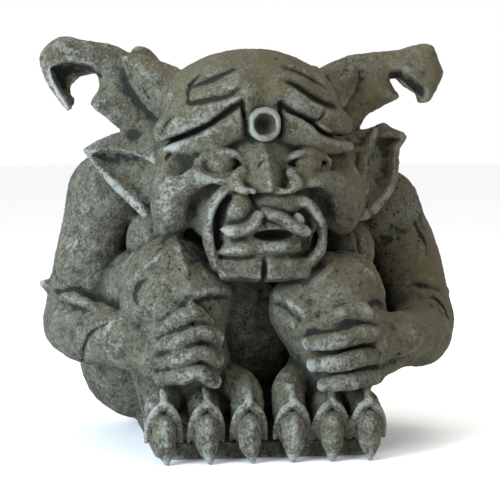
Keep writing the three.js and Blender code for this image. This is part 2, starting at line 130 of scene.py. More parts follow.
@dataclass
class Egg:
    """An egg form, given by its middle, half sizes and a turn about its middle in degrees."""

    middle: Point
    half: Point
    turn: Point = (0.0, 0.0, 0.0)

    def box(self) -> tuple[np.ndarray, np.ndarray]:
        """Returns the form's lowest and highest corners."""
        reach = np.array(self.half) if self.turn == (0.0, 0.0, 0.0) else np.full(3, max(self.half))
        return np.array(self.middle) - reach, np.array(self.middle) + reach

    def axes(self) -> np.ndarray:
        """Returns the three turned axes of the egg, one to a row."""
        rows = np.eye(3)
        for axis, degrees in enumerate(self.turn):
            c, s = math.cos(math.radians(degrees)), math.sin(math.radians(degrees))
            turn = np.eye(3)
            i, j = (axis + 1) % 3, (axis + 2) % 3
            turn[i, i], turn[i, j], turn[j, i], turn[j, j] = c, -s, s, c
            rows = rows @ turn.T
        return rows

    def distance(self, x: np.ndarray, y: np.ndarray, z: np.ndarray) -> np.ndarray:
        """Measures how far points are outside the form.

        Args:
            x: The points' X, ready to broadcast.
            y: The points' Y.
            z: The points' Z.

        Returns:
            The distances, negative inside.
        """
        p = [x - self.middle[0], y - self.middle[1], z - self.middle[2]]
        near, far = 0.0, 0.0
        for row, half in zip(self.axes(), self.half):
            along = sum(float(row[k]) * p[k] for k in range(3) if abs(row[k]) > 1e-9)
            near = near + (along / half) ** 2
            far = far + (along / half**2) ** 2
        near, far = np.sqrt(near), np.sqrt(far)
        return (near * (near - 1) / (far + 1e-9)).astype(np.float32)


@dataclass
class Limb:
    """A round-ended limb along a smooth path.

    Radii are half thicknesses along Y, and wide is how many times broader the limb is across its path.
    """

    path: list[Point]
    radii: list[float]
    wide: list[float] | None = None
    steps: int = 6
    square: float = 2.0

    def chain(self) -> tuple[np.ndarray, np.ndarray, np.ndarray]:
        """Returns the points along the limb with their radii and breadths."""
        points = smooth_line(self.path, self.steps)
        wide = self.wide or [1.0]
        return points, stations(self.radii, len(points)), stations(wide, len(points))

    def box(self) -> tuple[np.ndarray, np.ndarray]:
        """Returns the form's lowest and highest corners."""
        points, radii, wide = self.chain()
        reach = (radii * np.maximum(wide, 1))[:, None]
        return (points - reach).min(axis=0), (points + reach).max(axis=0)

    def distance(self, x: np.ndarray, y: np.ndarray, z: np.ndarray) -> np.ndarray:
        """Measures how far points are outside the form.

        Args:
            x: The points' X, ready to broadcast.
            y: The points' Y.
            z: The points' Z.

        Returns:
            The distances, negative inside.
        """
        points, radii, wide = self.chain()
        found = np.full(np.broadcast(x, y, z).shape, 1e3, dtype=np.float32)
        margin = 14.0
        axes = [x.ravel(), y.ravel(), z.ravel()]
        for a, b, ra, rb, wa, wb in zip(points, points[1:], radii, radii[1:], wide, wide[1:]):
            reach = max(ra * max(wa, 1), rb * max(wb, 1)) + margin
            cut = tuple(
                slice(*np.searchsorted(axis,
                    [min(p, q) - reach, max(p, q) + reach])) for axis, p, q in zip(axes, a, b)
            )
            if any(part.stop <= part.start for part in cut):
                continue
            local = self.stretch(x[cut[0]], y[:, cut[1]], z[:, :, cut[2]], (a, b), (ra, rb), (wa, wb))
            found[cut] = np.minimum(found[cut], local)
        return found

    def stretch(
        self, x: np.ndarray, y: np.ndarray, z: np.ndarray, ends: tuple, radii: tuple, wide: tuple
    ) -> np.ndarray:
        """Measures the distance to one straight stretch of the limb.

        Args:
            x: The points' X, ready to broadcast.
            y: The points' Y.
            z: The points' Z.
            ends: The two ends of the stretch.
            radii: The radius at each end.
            wide: The breadth at each end.

        Returns:
            The distances, negative inside.
        """
        a, b = ends
        length = float(np.linalg.norm(b - a)) + 1e-9
        t = (b - a) / length
        px, py, pz = x - a[0], y - a[1], z - a[2]
        s = np.clip((px * t[0] + py * t[1] + pz * t[2]) / length, 0, 1)
        qx, qy, qz = px - s * length * t[0], py - s * length * t[1], pz - s * length * t[2]
        r = radii[0] + s * (radii[1] - radii[0])
        if wide[0] == wide[1] == 1 and self.square == 2:
            return (np.sqrt(qx**2 + qy**2 + qz**2) - r).astype(np.float32)
        w = wide[0] + s * (wide[1] - wide[0])
        across = unit(np.cross((0, 1, 0), t))
        through = np.cross(t, across)
        u = qx * across[0] + qy * across[1] + qz * across[2]
        v = qx * through[0] + qy * through[1] + qz * through[2]
        n = qx * t[0] + qy * t[1] + qz * t[2]
        if self.square != 2:
            power = self.square
            sized = np.abs(u / (w * r)) ** power + np.abs(v / r) ** power + np.abs(n / r) ** power
            return ((sized ** (1 / power) - 1) * r).astype(np.float32)
        near = np.sqrt((u / (w * r)) ** 2 + (v / r) ** 2 + (n / r) ** 2)
        far = np.sqrt((u / (w * r) ** 2) ** 2 + (v / r**2) ** 2 + (n / r**2) ** 2)
        return (near * (near - 1) / (far + 1e-9)).astype(np.float32)


@dataclass
class Chip:
    """A block with flat faces, the tight skin round a few corner points, its arrises rounded a little."""

    corners: list[Point]
    round_off: float = 2.0

    def box(self) -> tuple[np.ndarray, np.ndarray]:
        """Returns the form's lowest and highest corners."""
        points = np.array(self.corners, dtype=float)
        return points.min(axis=0), points.max(axis=0)

    def planes(self) -> list[tuple[np.ndarray, float]]:
        """Finds the faces of the skin.

        Returns:
            Each face's outward direction and its distance along it.
        """
        points = np.array(self.corners, dtype=float)
        found: list[tuple[np.ndarray, float]] = []
        for i, j, k in combinations(range(len(points)), 3):
            way = np.cross(points[j] - points[i], points[k] - points[i])
            if np.linalg.norm(way) < 1e-6:
                continue
            way = unit(way)
            side = (points - points[i]) @ way
            if side.min() > -1e-6:
                way, side = -way, -side
            if side.max() > 1e-6:
                continue
            if not any(way @ other > 0.99999 for other, _ in found):
                found.append((way, float(points[i] @ way)))
        return found

    def distance(self, x: np.ndarray, y: np.ndarray, z: np.ndarray) -> np.ndarray:
        """Measures how far points are outside the form.

        Args:
            x: The points' X, ready to broadcast.
            y: The points' Y.
            z: The points' Z.

        Returns:
            The distances, negative inside.
        """
        total = None
        for way, far in self.planes():
            one = (x * way[0] + y * way[1] + z * way[2] - far).astype(np.float32)
            if total is None:
                total = one
                continue
            near = np.maximum(self.round_off - np.abs(total - one), 0) / self.round_off
            total = np.maximum(total, one) + near**2 * self.round_off * 0.25
        return total


@dataclass
class Leaf:
    """A plate known by its outline from the front, thicker away from its rim."""

    outline: list[Point]
    rim: float
    body: float
    swell: float = 10.0
    round_off: float = 1.0

    def __post_init__(self) -> None:
        """Draws the outline as a smooth closed line."""
        points = smooth_line(self.outline + self.outline[:1], 3)
        self.points: np.ndarray = points[:-1]

    def box(self) -> tuple[np.ndarray, np.ndarray]:
        """Returns the lowest and highest corners."""
        thick = np.array([0.0, self.body, 0.0])
        return self.points.min(axis=0) - thick, self.points.max(axis=0) + thick

    def distance(self, x: np.ndarray, y: np.ndarray, z: np.ndarray) -> np.ndarray:
        """Finds how far places are outside the plate.

        Args:
            x: X of the places, ready to broadcast.
            y: Y of the places.
            z: Z of the places.

        Returns:
            The distances, negative inside.
        """
        across, up = x[:, 0, :], z[0]
        best = np.full(np.broadcast(across, up).shape, 1e6)
        inside = np.zeros(best.shape, dtype=bool)
        weight = np.zeros_like(best)
        lean = np.zeros_like(best)
        for a, b in zip(self.points, np.roll(self.points, -1, axis=0)):
            run, rise = b[0] - a[0], b[2] - a[2]
            s = np.clip(((across - a[0]) * run + (up - a[2]) * rise) / (run * run + rise * rise + 1e-9), 0, 1)
            gap = (across - a[0] - s * run) ** 2 + (up - a[2] - s * rise) ** 2
            best = np.minimum(best, gap)
            crosses = (a[2] > up) != (b[2] > up)
            inside ^= crosses & (across < run * (up - a[2]) / (rise if rise else 1e-9) + a[0])
            share = math.hypot(run, rise) / (gap + 4.0) ** 1.5
            weight += share
            lean += share * (a[1] + s * (b[1] - a[1]))
        edge = np.sqrt(best) * np.where(inside, -1, 1)
        middle = lean / weight
        half = self.rim + (self.body - self.rim) * np.sin(np.clip(-edge / self.swell, 0, 1) * math.pi / 2)
        out = edge[:, None, :] + self.round_off
        off = np.abs(y - middle[:, None, :]) - half[:, None, :] + self.round_off
        rounded = np.hypot(np.maximum(out, 0), np.maximum(off, 0))
        return rounded + np.minimum(np.maximum(out, off), 0) - self.round_off


Form = Egg | Limb | Chip | Leaf


@dataclass
class Block:
    """The stone being carved: signed distances on a grid of cells, negative inside the stone."""

    low: Point
    high: Point
    cell: float
    axes: list[np.ndarray] = field(init=False)
    depth: np.ndarray = field(init=False)

    def __post_init__(self) -> None:
        """Lays out the grid with no stone in it."""
        self.axes = [
            np.arange(lo, hi + self.cell, self.cell, dtype=np.float32) for lo, hi in zip(self.low, self.high)
        ]
        self.depth = np.full([len(axis) for axis in self.axes], 30.0, dtype=np.float32)

    def window(self, low: np.ndarray, high: np.ndarray) -> tuple[tuple, np.ndarray, np.ndarray, np.ndarray]:
        """Finds the cells in a box.

        Args:
            low: The box's lowest corner.
            high: The box's highest corner.

        Returns:
            The slices of the grid, and the X, Y and Z of its cells, ready to broadcast.
        """
        cut = tuple(slice(*np.searchsorted(axis, [lo, hi])) for axis, lo, hi in zip(self.axes, low, high))
        x, y, z = (axis[part] for axis, part in zip(self.axes, cut))
        return cut, x[:, None, None], y[None, :, None], z[None, None, :]

    def add(self, form: Form, blend: float = 3.0) -> None:
        """Adds a form of stone.

        Args:
            form: The form to add.
            blend: How softly it runs into what is there, in millimetres.
        """
        low, high = form.box()
        cut, x, y, z = self.window(low - blend - 6, high + blend + 6)
        new = form.distance(x, y, z)
        old = self.depth[cut]
        near = np.maximum(blend - np.abs(old - new), 0) / max(blend, 1e-6)
        self.depth[cut] = np.minimum(old, new) - near**2 * blend * 0.25

    def cut(self, form: Form, blend: float = 1.5) -> None:
        """Cuts a form out of the stone.

        Args:
            form: The form to take away.
            blend: How soft the cut's rim is, in millimetres.
        """
        low, high = form.box()
        cut, x, y, z = self.window(low - blend - 4, high + blend + 4)
        new = -form.distance(x, y, z)
        old = self.depth[cut]
        near = np.maximum(blend - np.abs(old - new), 0) / max(blend, 1e-6)
        self.depth[cut] = np.maximum(old, new) + near**2 * blend * 0.25

    def add_mesh(self, points: np.ndarray, faces: np.ndarray, blend: float) -> None:
        """Adds a closed mesh as stone.

        Args:
            points: Its points in millimetres.
            faces: Its triangles.
            blend: How softly it runs into what is there.
        """
        start = np.array([axis[0] for axis in self.axes])
        placed = np.ascontiguousarray((points - start) / self.cell, dtype=np.float32)
        grid = openvdb.FloatGrid.createLevelSetFromPolygons(placed, triangles=faces.astype(np.int32),
            halfWidth=6)
        low = np.maximum(np.floor(placed.min(axis=0)).astype(int) - 6, 0)
        high = np.minimum(np.ceil(placed.max(axis=0)).astype(int) + 6, np.array(self.depth.shape))
        new = np.empty(tuple(high - low), dtype=np.float32)
        grid.copyToArray(new, ijk=tuple(int(v) for v in low))
        new *= self.cell
        cut = tuple(slice(a, b) for a, b in zip(low, high))
        old = self.depth[cut]
        near = np.maximum(blend - np.abs(old - new), 0) / blend
        self.depth[cut] = np.minimum(old, new) - near**2 * blend * 0.25

    def stroke(
        self,
        line: Line,
        depth: float,
        width: float,
        reach: tuple[float, float] = (-130.0, 130.0),
        taper: float = 0.5,
        squareness: float = 2.0,
    ) -> None:
        """Draws a chisel along a line seen from the front, cutting in, or raising the stone where depth is negative.

        Args:
            line: X and Z along the line.
            depth: How deep the chisel goes.
            width: Half the width of the stroke.
            reach: The lowest and highest Y that it touches.
            taper: How gently its ends run out, nought for blunt ends.
            squareness: How steep its walls are.
        """
        points = smooth_line(line, 8)
        margin = 2.6 * width
        low = np.array([points[:, 0].min() - margin, reach[0], points[:, 1].min() - margin])
        high = np.array([points[:, 0].max() + margin, reach[1], points[:, 1].max() + margin])
        cut, x, _, z = self.window(low, high)
        x, z = x[:, 0, :], z[0]
        best = np.full(np.broadcast(x, z).shape, 1e3)
        place = np.zeros_like(best)
        count = len(points) - 1
        for i, (a, b) in enumerate(zip(points, points[1:])):
            step = b - a
            s = np.clip(((x - a[0]) * step[0] + (z - a[1]) * step[1]) / (step @ step + 1e-9), 0, 1)
            gap = np.hypot(x - a[0] - s * step[0], z - a[1] - s * step[1])
            closer = gap < best
            best = np.where(closer, gap, best)
            place = np.where(closer, (i + s) / count, place)
        strength = np.sin(np.pi * np.clip(place, 0.0, 1.0)) ** taper if taper > 0 else 1.0
        profile = depth * strength * np.exp(-((best / width) ** squareness))
        self.depth[cut] += profile[:, None, :].astype(np.float32)

    def flatten(self, height: float) -> None:
        """Cuts the underside flat.

        Args:
            height: The Z of the underside.
        """
        self.depth = np.maximum(self.depth, height - self.axes[2][None, None, :])

    def trim(self, low: np.ndarray, high: np.ndarray, margin: float) -> None:
        """Shaves off whatever stands past the solid's box, except under the foot.

        Args:
            low: The box's lowest corner.
            high: The box's highest corner.
            margin: How far inside the box to stop.
        """
        for k, axis in enumerate(self.axes):
            shape = [-1 if k == other else 1 for other in range(3)]
            past = axis - high[k] + margin
            if k < 2:
                past = np.maximum(past, low[k] + margin - axis)
            self.depth = np.maximum(self.depth, past.reshape(shape).astype(np.float32))

    def surface(self) -> tuple[np.ndarray, np.ndarray]:
        """Draws the skin of the stone.

        Returns:
            The points in millimetres and the four-sided faces.
        """
        band = 3 * self.cell
        grid = openvdb.FloatGrid(band)
        grid.copyFromArray(np.clip(self.depth, -band, band))
        points, quads = grid.convertToQuads(0.0)
        return points * self.cell + np.array([axis[0] for axis in self.axes]), quads

    def blurred(self, radius: float, limit: float) -> np.ndarray:
        """Softens the distances, so that hollows and edges stand out from flat stone.

        Args:
            radius: How far to soften, in millimetres.
            limit: The distance past which stone and air count alike.

        Returns:
            The softened distances on the grid.
        """
        soft = np.clip(self.depth, -limit, limit)
        reach = max(1, round(radius / self.cell))
        for axis in range(3):
            for _ in range(2):
                pad = [(reach + 1, reach) if k == axis else (0, 0) for k in range(3)]
                total = np.cumsum(np.pad(soft, pad, mode="edge"), axis=axis, dtype=np.float64)
                size = total.shape[axis]
                ahead = np.take(total, range(2 * reach + 1, size), axis=axis)
                behind = np.take(total, range(0, size - 2 * reach - 1), axis=axis)
                soft = ((ahead - behind) / (2 * reach + 1)).astype(np.float32)
        return soft

    def sample(self, values: np.ndarray, points: np.ndarray) -> np.ndarray:
        """Reads values on the grid at any points.

        Args:
            values: One value to a cell.
            points: The points, in millimetres.

        Returns:
            One value to a point.
        """
        place = (points - np.array([axis[0] for axis in self.axes])) / self.cell
        base = np.clip(np.floor(place).astype(int), 0, np.array(values.shape) - 2)
        part = np.clip(place - base, 0, 1)
        total = np.zeros(len(points))
        for corner in np.ndindex(2, 2, 2):
            weight = np.prod(np.where(np.array(corner) == 1, part, 1 - part), axis=1)
            total += weight * values[tuple((base + np.array(corner)).T)]
        return total


# ------------------------------------------------------------------ the body


@dataclass
class Carving:
    """One sub-assembly of the figure: it adds its own stone to the block and cuts its own lines."""

    def carve(self, block: Block) -> None:
        """Adds the sub-assembly's forms to the block."""
        raise NotImplementedError

    def line(self, block: Block) -> None:
        """Cuts the sub-assembly's fine lines, once all the forms are there."""


@dataclass
class Trunk(Carving):
    """The hunched trunk and neck."""

    belly: Egg = field(default_factory=lambda: Egg((0, 50, 76), (86, 60, 84)))
    middle: Egg = field(default_factory=lambda: Egg((0, 50, 116), (92, 63, 76)))
    upper: Egg = field(default_factory=lambda: Egg((0, 47, 152), (99, 60, 62)))
    front: Egg = field(default_factory=lambda: Egg((0, -8, 100), (58, 38, 62)))
    neck: Egg = field(default_factory=lambda: Egg((-2, 12, 188), (56, 52, 34)))

    def carve(self, block: Block) -> None:
        """Adds the trunk to the block, with a furrow down each side of the spine and the blades of the shoulders."""
        for form in (self.belly, self.middle, self.upper, self.front, self.neck):
            block.add(form, blend=8)
        for side in Side:
            s = side.value
            block.stroke([(12 * s, 52), (15 * s, 100), (14 * s, 150), (10 * s, 186)], 2.2, 7, reach=(60, 130))
            block.stroke([(30 * s, 178), (52 * s, 168), (66 * s, 142), (58 * s, 120)], -2.6, 7,
                reach=(50, 130))
            block.stroke([(26 * s, 166), (40 * s, 148), (46 * s, 124)], 2.0, 6, reach=(50, 130))

    def back_at(self, height: float) -> float:
        """Finds how far back the trunk reaches on its middle line.

        Args:
            height: The Z to look at.

        Returns:
            The Y of the back there.
        """
        reach = 0.0
        for form in (self.belly, self.middle, self.upper, self.front, self.neck):
            level = (height - form.middle[2]) / form.half[2]
            if abs(level) < 1:
                reach = max(reach, form.middle[1] + form.half[1] * math.sqrt(1 - level * level))
        return reach


@dataclass
class Leg(Carving):
    """One folded leg from the hip to the ankle, with the ridges of its knee."""

    hip: Egg
    thigh: Limb
    knee: Egg
    kneecap: Egg
    shin: Limb
    calf: Limb
    ridges: list[Line]
    creases: list[Line]

    def carve(self, block: Block) -> None:
        """Adds the leg to the block."""
        block.add(self.calf, blend=5)
        block.add(self.hip, blend=6)
        block.add(self.thigh, blend=6)
        block.add(self.knee, blend=7)
        block.add(self.kneecap, blend=9)
        block.add(self.shin, blend=7)

    def line(self, block: Block) -> None:
        """Raises the knee's ridges and cuts its creases."""
        for ridge in self.ridges:
            block.stroke(ridge, -5.0, 6.5, reach=(-125, -45), taper=0.6, squareness=1.1)
        for crease in self.creases:
            block.stroke(crease, 2.2, 2.2, reach=(-125, -45), taper=0.8)


@dataclass
class Arm(Carving):
    """One arm from the shoulder to the wrist, with the breast beside it."""

    shoulder: Egg
    upper: Limb
    spur: Limb
    forearm: Limb
    breast: Egg
    creases: list[Line]

    def carve(self, block: Block) -> None:
        """Adds the arm to the block."""
        block.add(self.breast, blend=2.5)
        block.add(self.shoulder, blend=7)
        block.add(self.upper, blend=5)
        block.add(self.forearm, blend=3)
        block.add(self.spur, blend=3)

    def line(self, block: Block) -> None:
        """Cuts the folds inside the elbow."""
        for crease in self.creases:
            block.stroke(crease, 3.2, 2.6, reach=(-60, 6), taper=0.8)


@dataclass
class Hand(Carving):
    """One hand with four fingers laid across the shin."""

    palm: Limb
    fingers: list[list[Point]]
    tendons: list[list[Point]]
    knuckle: float = 6.8
    tip: float = 5.2

    def carve(self, block: Block) -> None:
        """Adds the hand to the block."""
        block.add(self.palm, blend=5)
        for tendon in self.tendons:
            block.add(Limb(tendon, [4.2, 3.4, 2.2]), blend=4)
        for path in self.fingers:
            radii = [self.knuckle * 0.9, self.knuckle, self.knuckle * 0.84, self.tip]
            block.add(Limb(path, radii, steps=8), blend=0.8)


@dataclass
class Foot(Carving):
    """A row of three toes, each with a hooded claw."""

    side: Side
    ankle: float
    toes: list[float]
    rises: list[float]
    claw_top: float = 32.0
    claw_half_width: float = 8.0
    claw_point_y: float = -117.0
    hood: float = 2.9

    def carve(self, block: Block) -> None:
        """Adds the toes, then the hoods and the claws."""
        for x, rise in zip(self.toes, self.rises):
            root = self.ankle + 0.6 * (x - self.ankle)
            block.add(Limb([(root, -68, rise - 2), (x, -90, rise - 9), (x, -102, 20)], [12, 11, 11]), blend=3)
        for x in self.toes:
            block.cut(Egg((x, -111, 25), (9.6, 8, 17)), blend=2)
        for x in self.toes:
            self.claw(block, x)

    def claw(self, block: Block, x: float) -> None:
        """Adds one hooded claw.

        Args:
            block: The block to add it to.
            x: The middle of the toe.
        """
        ridge = [(x, -100, 47), (x, -106.5, 42), (x, -110, 38.5)]
        block.add(Limb(ridge, [2.2, 2.6, self.hood]), blend=4)
        for way in (-1, 1):
            fold = [(x, -110, 38.5), (x + 5.5 * way, -109.5, 34), (x + 9.8 * way, -107, 25),
                (x + 11.4 * way, -103, 14)]
            block.add(Limb(fold, [self.hood, self.hood, self.hood * 0.9, 1.8], steps=8), blend=1.2)
        width = self.claw_half_width
        top = self.claw_top
        lean = self.side.value * 1.2
        path = [(x, -101, top), (x, -108.5, top * 0.74), (x, -111.5, top * 0.4),
            (x - lean, self.claw_point_y, 1.5)]
        block.add(Limb(path, [5.4, width, width * 0.92, 1.7], steps=8), blend=0.4)
        block.stroke([(x, top + 2), (x, top * 0.6), (x - lean, 2)], -1.5, 4.2, reach=(-125, -105),
            squareness=1.2)


@dataclass
class Slab(Carving):
    """The low foot slab that the toes grip."""

    half_width: float = 73.0
    front: float = -97.0
    back: float = 70.0
    height: float = 11.0
    corner: float = 14.0

    def carve(self, block: Block) -> None:
        """Adds the slab to the block."""
        low = np.array([-self.half_width - 8, self.front - 8, -10])
        high = np.array([self.half_width + 8, self.back + 8, self.height + 10])
        cut, x, y, z = block.window(low, high)
        middle = (self.front + self.back) / 2
        out_x = np.abs(x) - self.half_width + self.corner
        out_y = np.abs(y - middle) - (self.back - self.front) / 2 + self.corner
        flat = np.hypot(np.maximum(out_x, 0), np.maximum(out_y, 0)) + np.minimum(np.maximum(out_x, out_y), 0)
        new = np.maximum(flat - self.corner, z - self.height)
        old = block.depth[cut]
        near = np.maximum(4 - np.abs(old - new), 0) / 4
        block.depth[cut] = np.minimum(old, new) - near**2


# ------------------------------------------------------------------ the head


@dataclass
class Skull(Carving):
    """The cranium, forehead, face and jaw under the features."""

    forehead: Egg = field(default_factory=lambda: Egg((HEAD_X - 1, -48, 232), (60, 51, 40)))
    cranium: Egg = field(default_factory=lambda: Egg((HEAD_X, -24, 206), (61, 62, 60)))
    face: Egg = field(default_factory=lambda: Egg((HEAD_X + 1, -58, 182), (58, 40, 48)))
    jaw: Egg = field(default_factory=lambda: Egg((HEAD_X + 1, -74, 148), (36, 29, 30)))
    muzzle: Egg = field(default_factory=lambda: Egg((HEAD_X, -88, 158), (29, 19, 25)))
    mask: Limb = field(
        default_factory=lambda: Limb(
            [(-54, -58, 192), (-31, -77, 194), (HEAD_X, -87, 196), (25, -77, 194), (48, -58, 192)],
            [13, 15, 15, 15, 13],
            [1.5, 1.5, 1.5, 1.5, 1.5],
        )
    )

    def carve(self, block: Block) -> None:
        """Adds the skull to the block."""
        for form in (self.cranium, self.face, self.jaw, self.muzzle, self.mask, self.forehead):
            block.add(form, blend=6)


@dataclass
class Furrows(Carving):
    """The furrows across the forehead, and the crease under the brow."""

    furrows: list[tuple[Line, float, float]]
    creases: list[Line]
    slots: list[Line]

    def carve(self, block: Block) -> None:
        """Adds nothing: the furrows are only cut."""

    def line(self, block: Block) -> None:
        """Cuts the furrows and the creases."""
        for line, depth, width in self.furrows:
            block.stroke(line, depth, width, reach=(-125, -55), taper=0.5, squareness=2)
        for line in self.creases:
            block.stroke(line, 6.0, 2.2, reach=(-125, -50), taper=0.35, squareness=2)
        for line in self.slots:
            block.stroke(line, 4.5, 1.6, reach=(-125, -70), taper=0.5, squareness=2)


@dataclass
class EyeSide(Carving):
    """One eye with its roll of lid, and the brow over it."""

    brow: Limb
    lid_roll: Limb
    eye: Point
    upper_lid: list[Point]
    lower_lid: list[Point]
    socket: Egg
    temple: Egg
    radius: float = 10.5

    def carve(self, block: Block) -> None:
        """Adds the brow, the socket, the eyeball and its lids."""
        block.add(self.brow, blend=12)
        block.cut(self.socket, blend=4)
        block.cut(self.temple, blend=4)
        block.add(self.lid_roll, blend=3)
        block.add(Egg(self.eye, (self.radius, self.radius, self.radius * 0.85)), blend=0.6)
        block.add(Limb(self.upper_lid, [2.0, 2.8, 3.0, 2.8, 2.0], steps=8), blend=1)
        block.add(Limb(self.lower_lid, [1.8, 2.5, 2.8, 2.5, 1.8], steps=8), blend=1.5)


@dataclass
class CheekSide(Carving):
    """One cheek: the roll under the eye, the hollow and the fold round the mouth."""

    mass: Egg
    roll: Limb
    hollow: Limb
    smile_fold: Limb
    gutter: Line

    def carve(self, block: Block) -> None:
        """Adds the cheek, cuts its hollow and adds the fold."""
        block.add(self.mass, blend=9)
        block.add(self.roll, blend=7)
        block.cut(self.hollow, blend=2)
        block.add(self.smile_fold, blend=1.5)

    def line(self, block: Block) -> None:
        """Cuts the gutter between the fold and the muzzle."""
        block.stroke(self.gutter, 4.5, 3.0, reach=(-125, -75), taper=0.4)


@dataclass
class Nose(Carving):
    """The nose with its wings and nostrils."""

    bridge: Chip
    wings: list[Limb]
    nostrils: list[Egg]

    def carve(self, block: Block) -> None:
        """Adds the nose to the block and cuts its nostrils."""
        block.add(self.bridge, blend=3)
        for wing in self.wings:
            block.add(wing, blend=2)
        for nostril in self.nostrils:
            block.cut(nostril, blend=1)


@dataclass
class Mouth(Carving):
    """The muzzle, the two halves of the upper lip, the lower lip, the bead in the corner and the chin."""

    lumps: list[Egg]
    upper: list[Limb]
    lower: list[Limb]
    bead: Egg
    chins: list[Chip]
    opening: Egg
    pocket: Egg
    cleft: Egg

    def carve(self, block: Block) -> None:
        """Adds the mouth to the block."""
        for chin in self.chins:
            block.add(chin, blend=2)
        block.cut(self.cleft, blend=1.5)
        for lump in self.lumps:
            block.add(lump, blend=2)
        for lip in self.lower:
            block.add(lip, blend=2)
        block.cut(self.opening, blend=1.2)
        block.cut(self.pocket, blend=1.5)
        for lip in self.upper:
            block.add(lip, blend=0.8)
        block.add(self.bead, blend=0.6)


@dataclass
class ThirdEye(Carving):
    """The round rim on the brow with its pit."""

    z: float = 221.0
    y: float = -111.0
    radius: float = 8.2
    tube: float = 3.1
    root: float = 11.0

    def carve(self, block: Block) -> None:
        """Adds the rim and cuts its pit."""
        ring = [
            (HEAD_X + self.radius * math.cos(a), self.y, self.z + self.radius * math.sin(a))
            for a in np.linspace(0, 2 * math.pi, 33)
        ]
        block.add(Egg((HEAD_X, self.y + 7, self.z), (self.root, 8, self.root)), blend=1.5)
        block.add(Limb(ring, [self.tube], steps=1), blend=1)
        pit = self.radius - 0.8
        block.cut(Egg((HEAD_X, self.y - 3, self.z), (pit, 12, pit)), blend=1.5)


@dataclass
class Ear(Carving):
    """One cupped, pointed ear with a thin rim."""

    blade: Leaf
    cup: Leaf
    fold: Limb

    def carve(self, block: Block) -> None:
        """Adds the ear to the block, hollows it and adds the fold in front of the hollow."""
        block.add(self.blade, blend=4)
        block.cut(self.cup, blend=0.8)
        block.add(self.fold, blend=3)


@dataclass
class Horn(Carving):
    """One hooked, scooped horn with its front fold and back lobe."""

    root: Limb
    hook: Leaf
    scoop: Leaf
    fold: Leaf
    lobe: Leaf

    def carve(self, block: Block) -> None:
        """Adds the horn to the block and scoops it."""
        block.add(self.lobe, blend=2)
        block.add(self.root, blend=6)
        block.add(self.hook, blend=4)
        block.cut(self.scoop, blend=1)
        block.add(self.fold, blend=3)


@dataclass
class Cracks(Carving):
    """The casting's dark hairline cracks, each seen from the front with the Y that it may touch."""

    lines: list[tuple[Line, tuple[float, float]]]
    depth: float = 2.2
    width: float = 0.9

    def carve(self, block: Block) -> None:
        """Adds nothing: cracks are only cut."""

    def line(self, block: Block) -> None:
        """Cuts the cracks."""
        for line, reach in self.lines:
            block.stroke(line, self.depth, self.width, reach=reach, taper=0.4, squareness=2)


# ------------------------------------------------------------------ node trees


@dataclass
class Tree:
    """A geometry node tree with named inputs, set on an object by the inputs' identifiers."""

    name: str
    group: bpy.types.NodeTree = field(init=False)
    inputs: dict[str, bpy.types.NodeTreeInterfaceSocket] = field(init=False, default_factory=dict)

    def __post_init__(self) -> None:
        """Makes an empty tree with its input and output."""
        self.group = bpy.data.node_groups.new(self.name, "GeometryNodeTree")
        self.group.interface.new_socket("Geometry", in_out="INPUT", socket_type="NodeSocketGeometry")
        self.group.interface.new_socket("Geometry", in_out="OUTPUT", socket_type="NodeSocketGeometry")
        self.start = self.group.nodes.new("NodeGroupInput")
        self.end = self.group.nodes.new("NodeGroupOutput")

    def setting(self, name: str, kind: str = "NodeSocketFloat") -> bpy.types.NodeSocket:
        """Adds a named input.

        Args:
            name: The input's name.
            kind: Its socket type.

        Returns:
            The socket to link from.
        """
        self.inputs[name] = self.group.interface.new_socket(name, in_out="INPUT", socket_type=kind)
        return self.start.outputs[name]

    def node(self, kind: str, **values: object) -> bpy.types.Node:
        """Adds a node.

        Args:
            kind: The node's type.
            values: Its properties.

        Returns:
            The new node.
        """
        made = self.group.nodes.new(kind)
        for key, value in values.items():
            setattr(made, key, value)
        return made

    def link(self, source: bpy.types.NodeSocket, target: bpy.types.NodeSocket) -> None:
        """Links two sockets."""
        self.group.links.new(source, target)

    def close(self, geometry: bpy.types.NodeSocket) -> None:
        """Ends the tree in Realize Instances and Set Material.

        Args:
            geometry: The geometry to finish.
        """
        realize = self.node("GeometryNodeRealizeInstances")
        dress = self.node("GeometryNodeSetMaterial")
        self.link(geometry, realize.inputs["Geometry"])
        self.link(realize.outputs["Geometry"], dress.inputs["Geometry"])
        self.link(self.setting("Material", "NodeSocketMaterial"), dress.inputs["Material"])
        self.link(dress.outputs["Geometry"], self.end.inputs["Geometry"])

    def apply(self, thing: bpy.types.Object, values: dict[str, object],
        extra: float | None = None) -> bpy.types.Mesh:
        """Runs the tree on an object and returns the plain mesh.

        Args:
            thing: The object to run it on.
            values: The value of each named input.
            extra: How far a collapse then thins the mesh, from 0 to 1, or None for no collapse.

        Returns:
            The finished mesh.
        """
        modifier = thing.modifiers.new(self.name, "NODES")
        modifier.node_group = self.group
        for name, value in values.items():
            modifier[self.inputs[name].identifier] = value
        if extra is not None:
            thin = thing.modifiers.new("thin", "DECIMATE")
            thin.ratio = extra
        depsgraph = bpy.context.evaluated_depsgraph_get()
        mesh = bpy.data.meshes.new_from_object(thing.evaluated_get(depsgraph), depsgraph=depsgraph)
        thing.modifiers.clear()
        return mesh


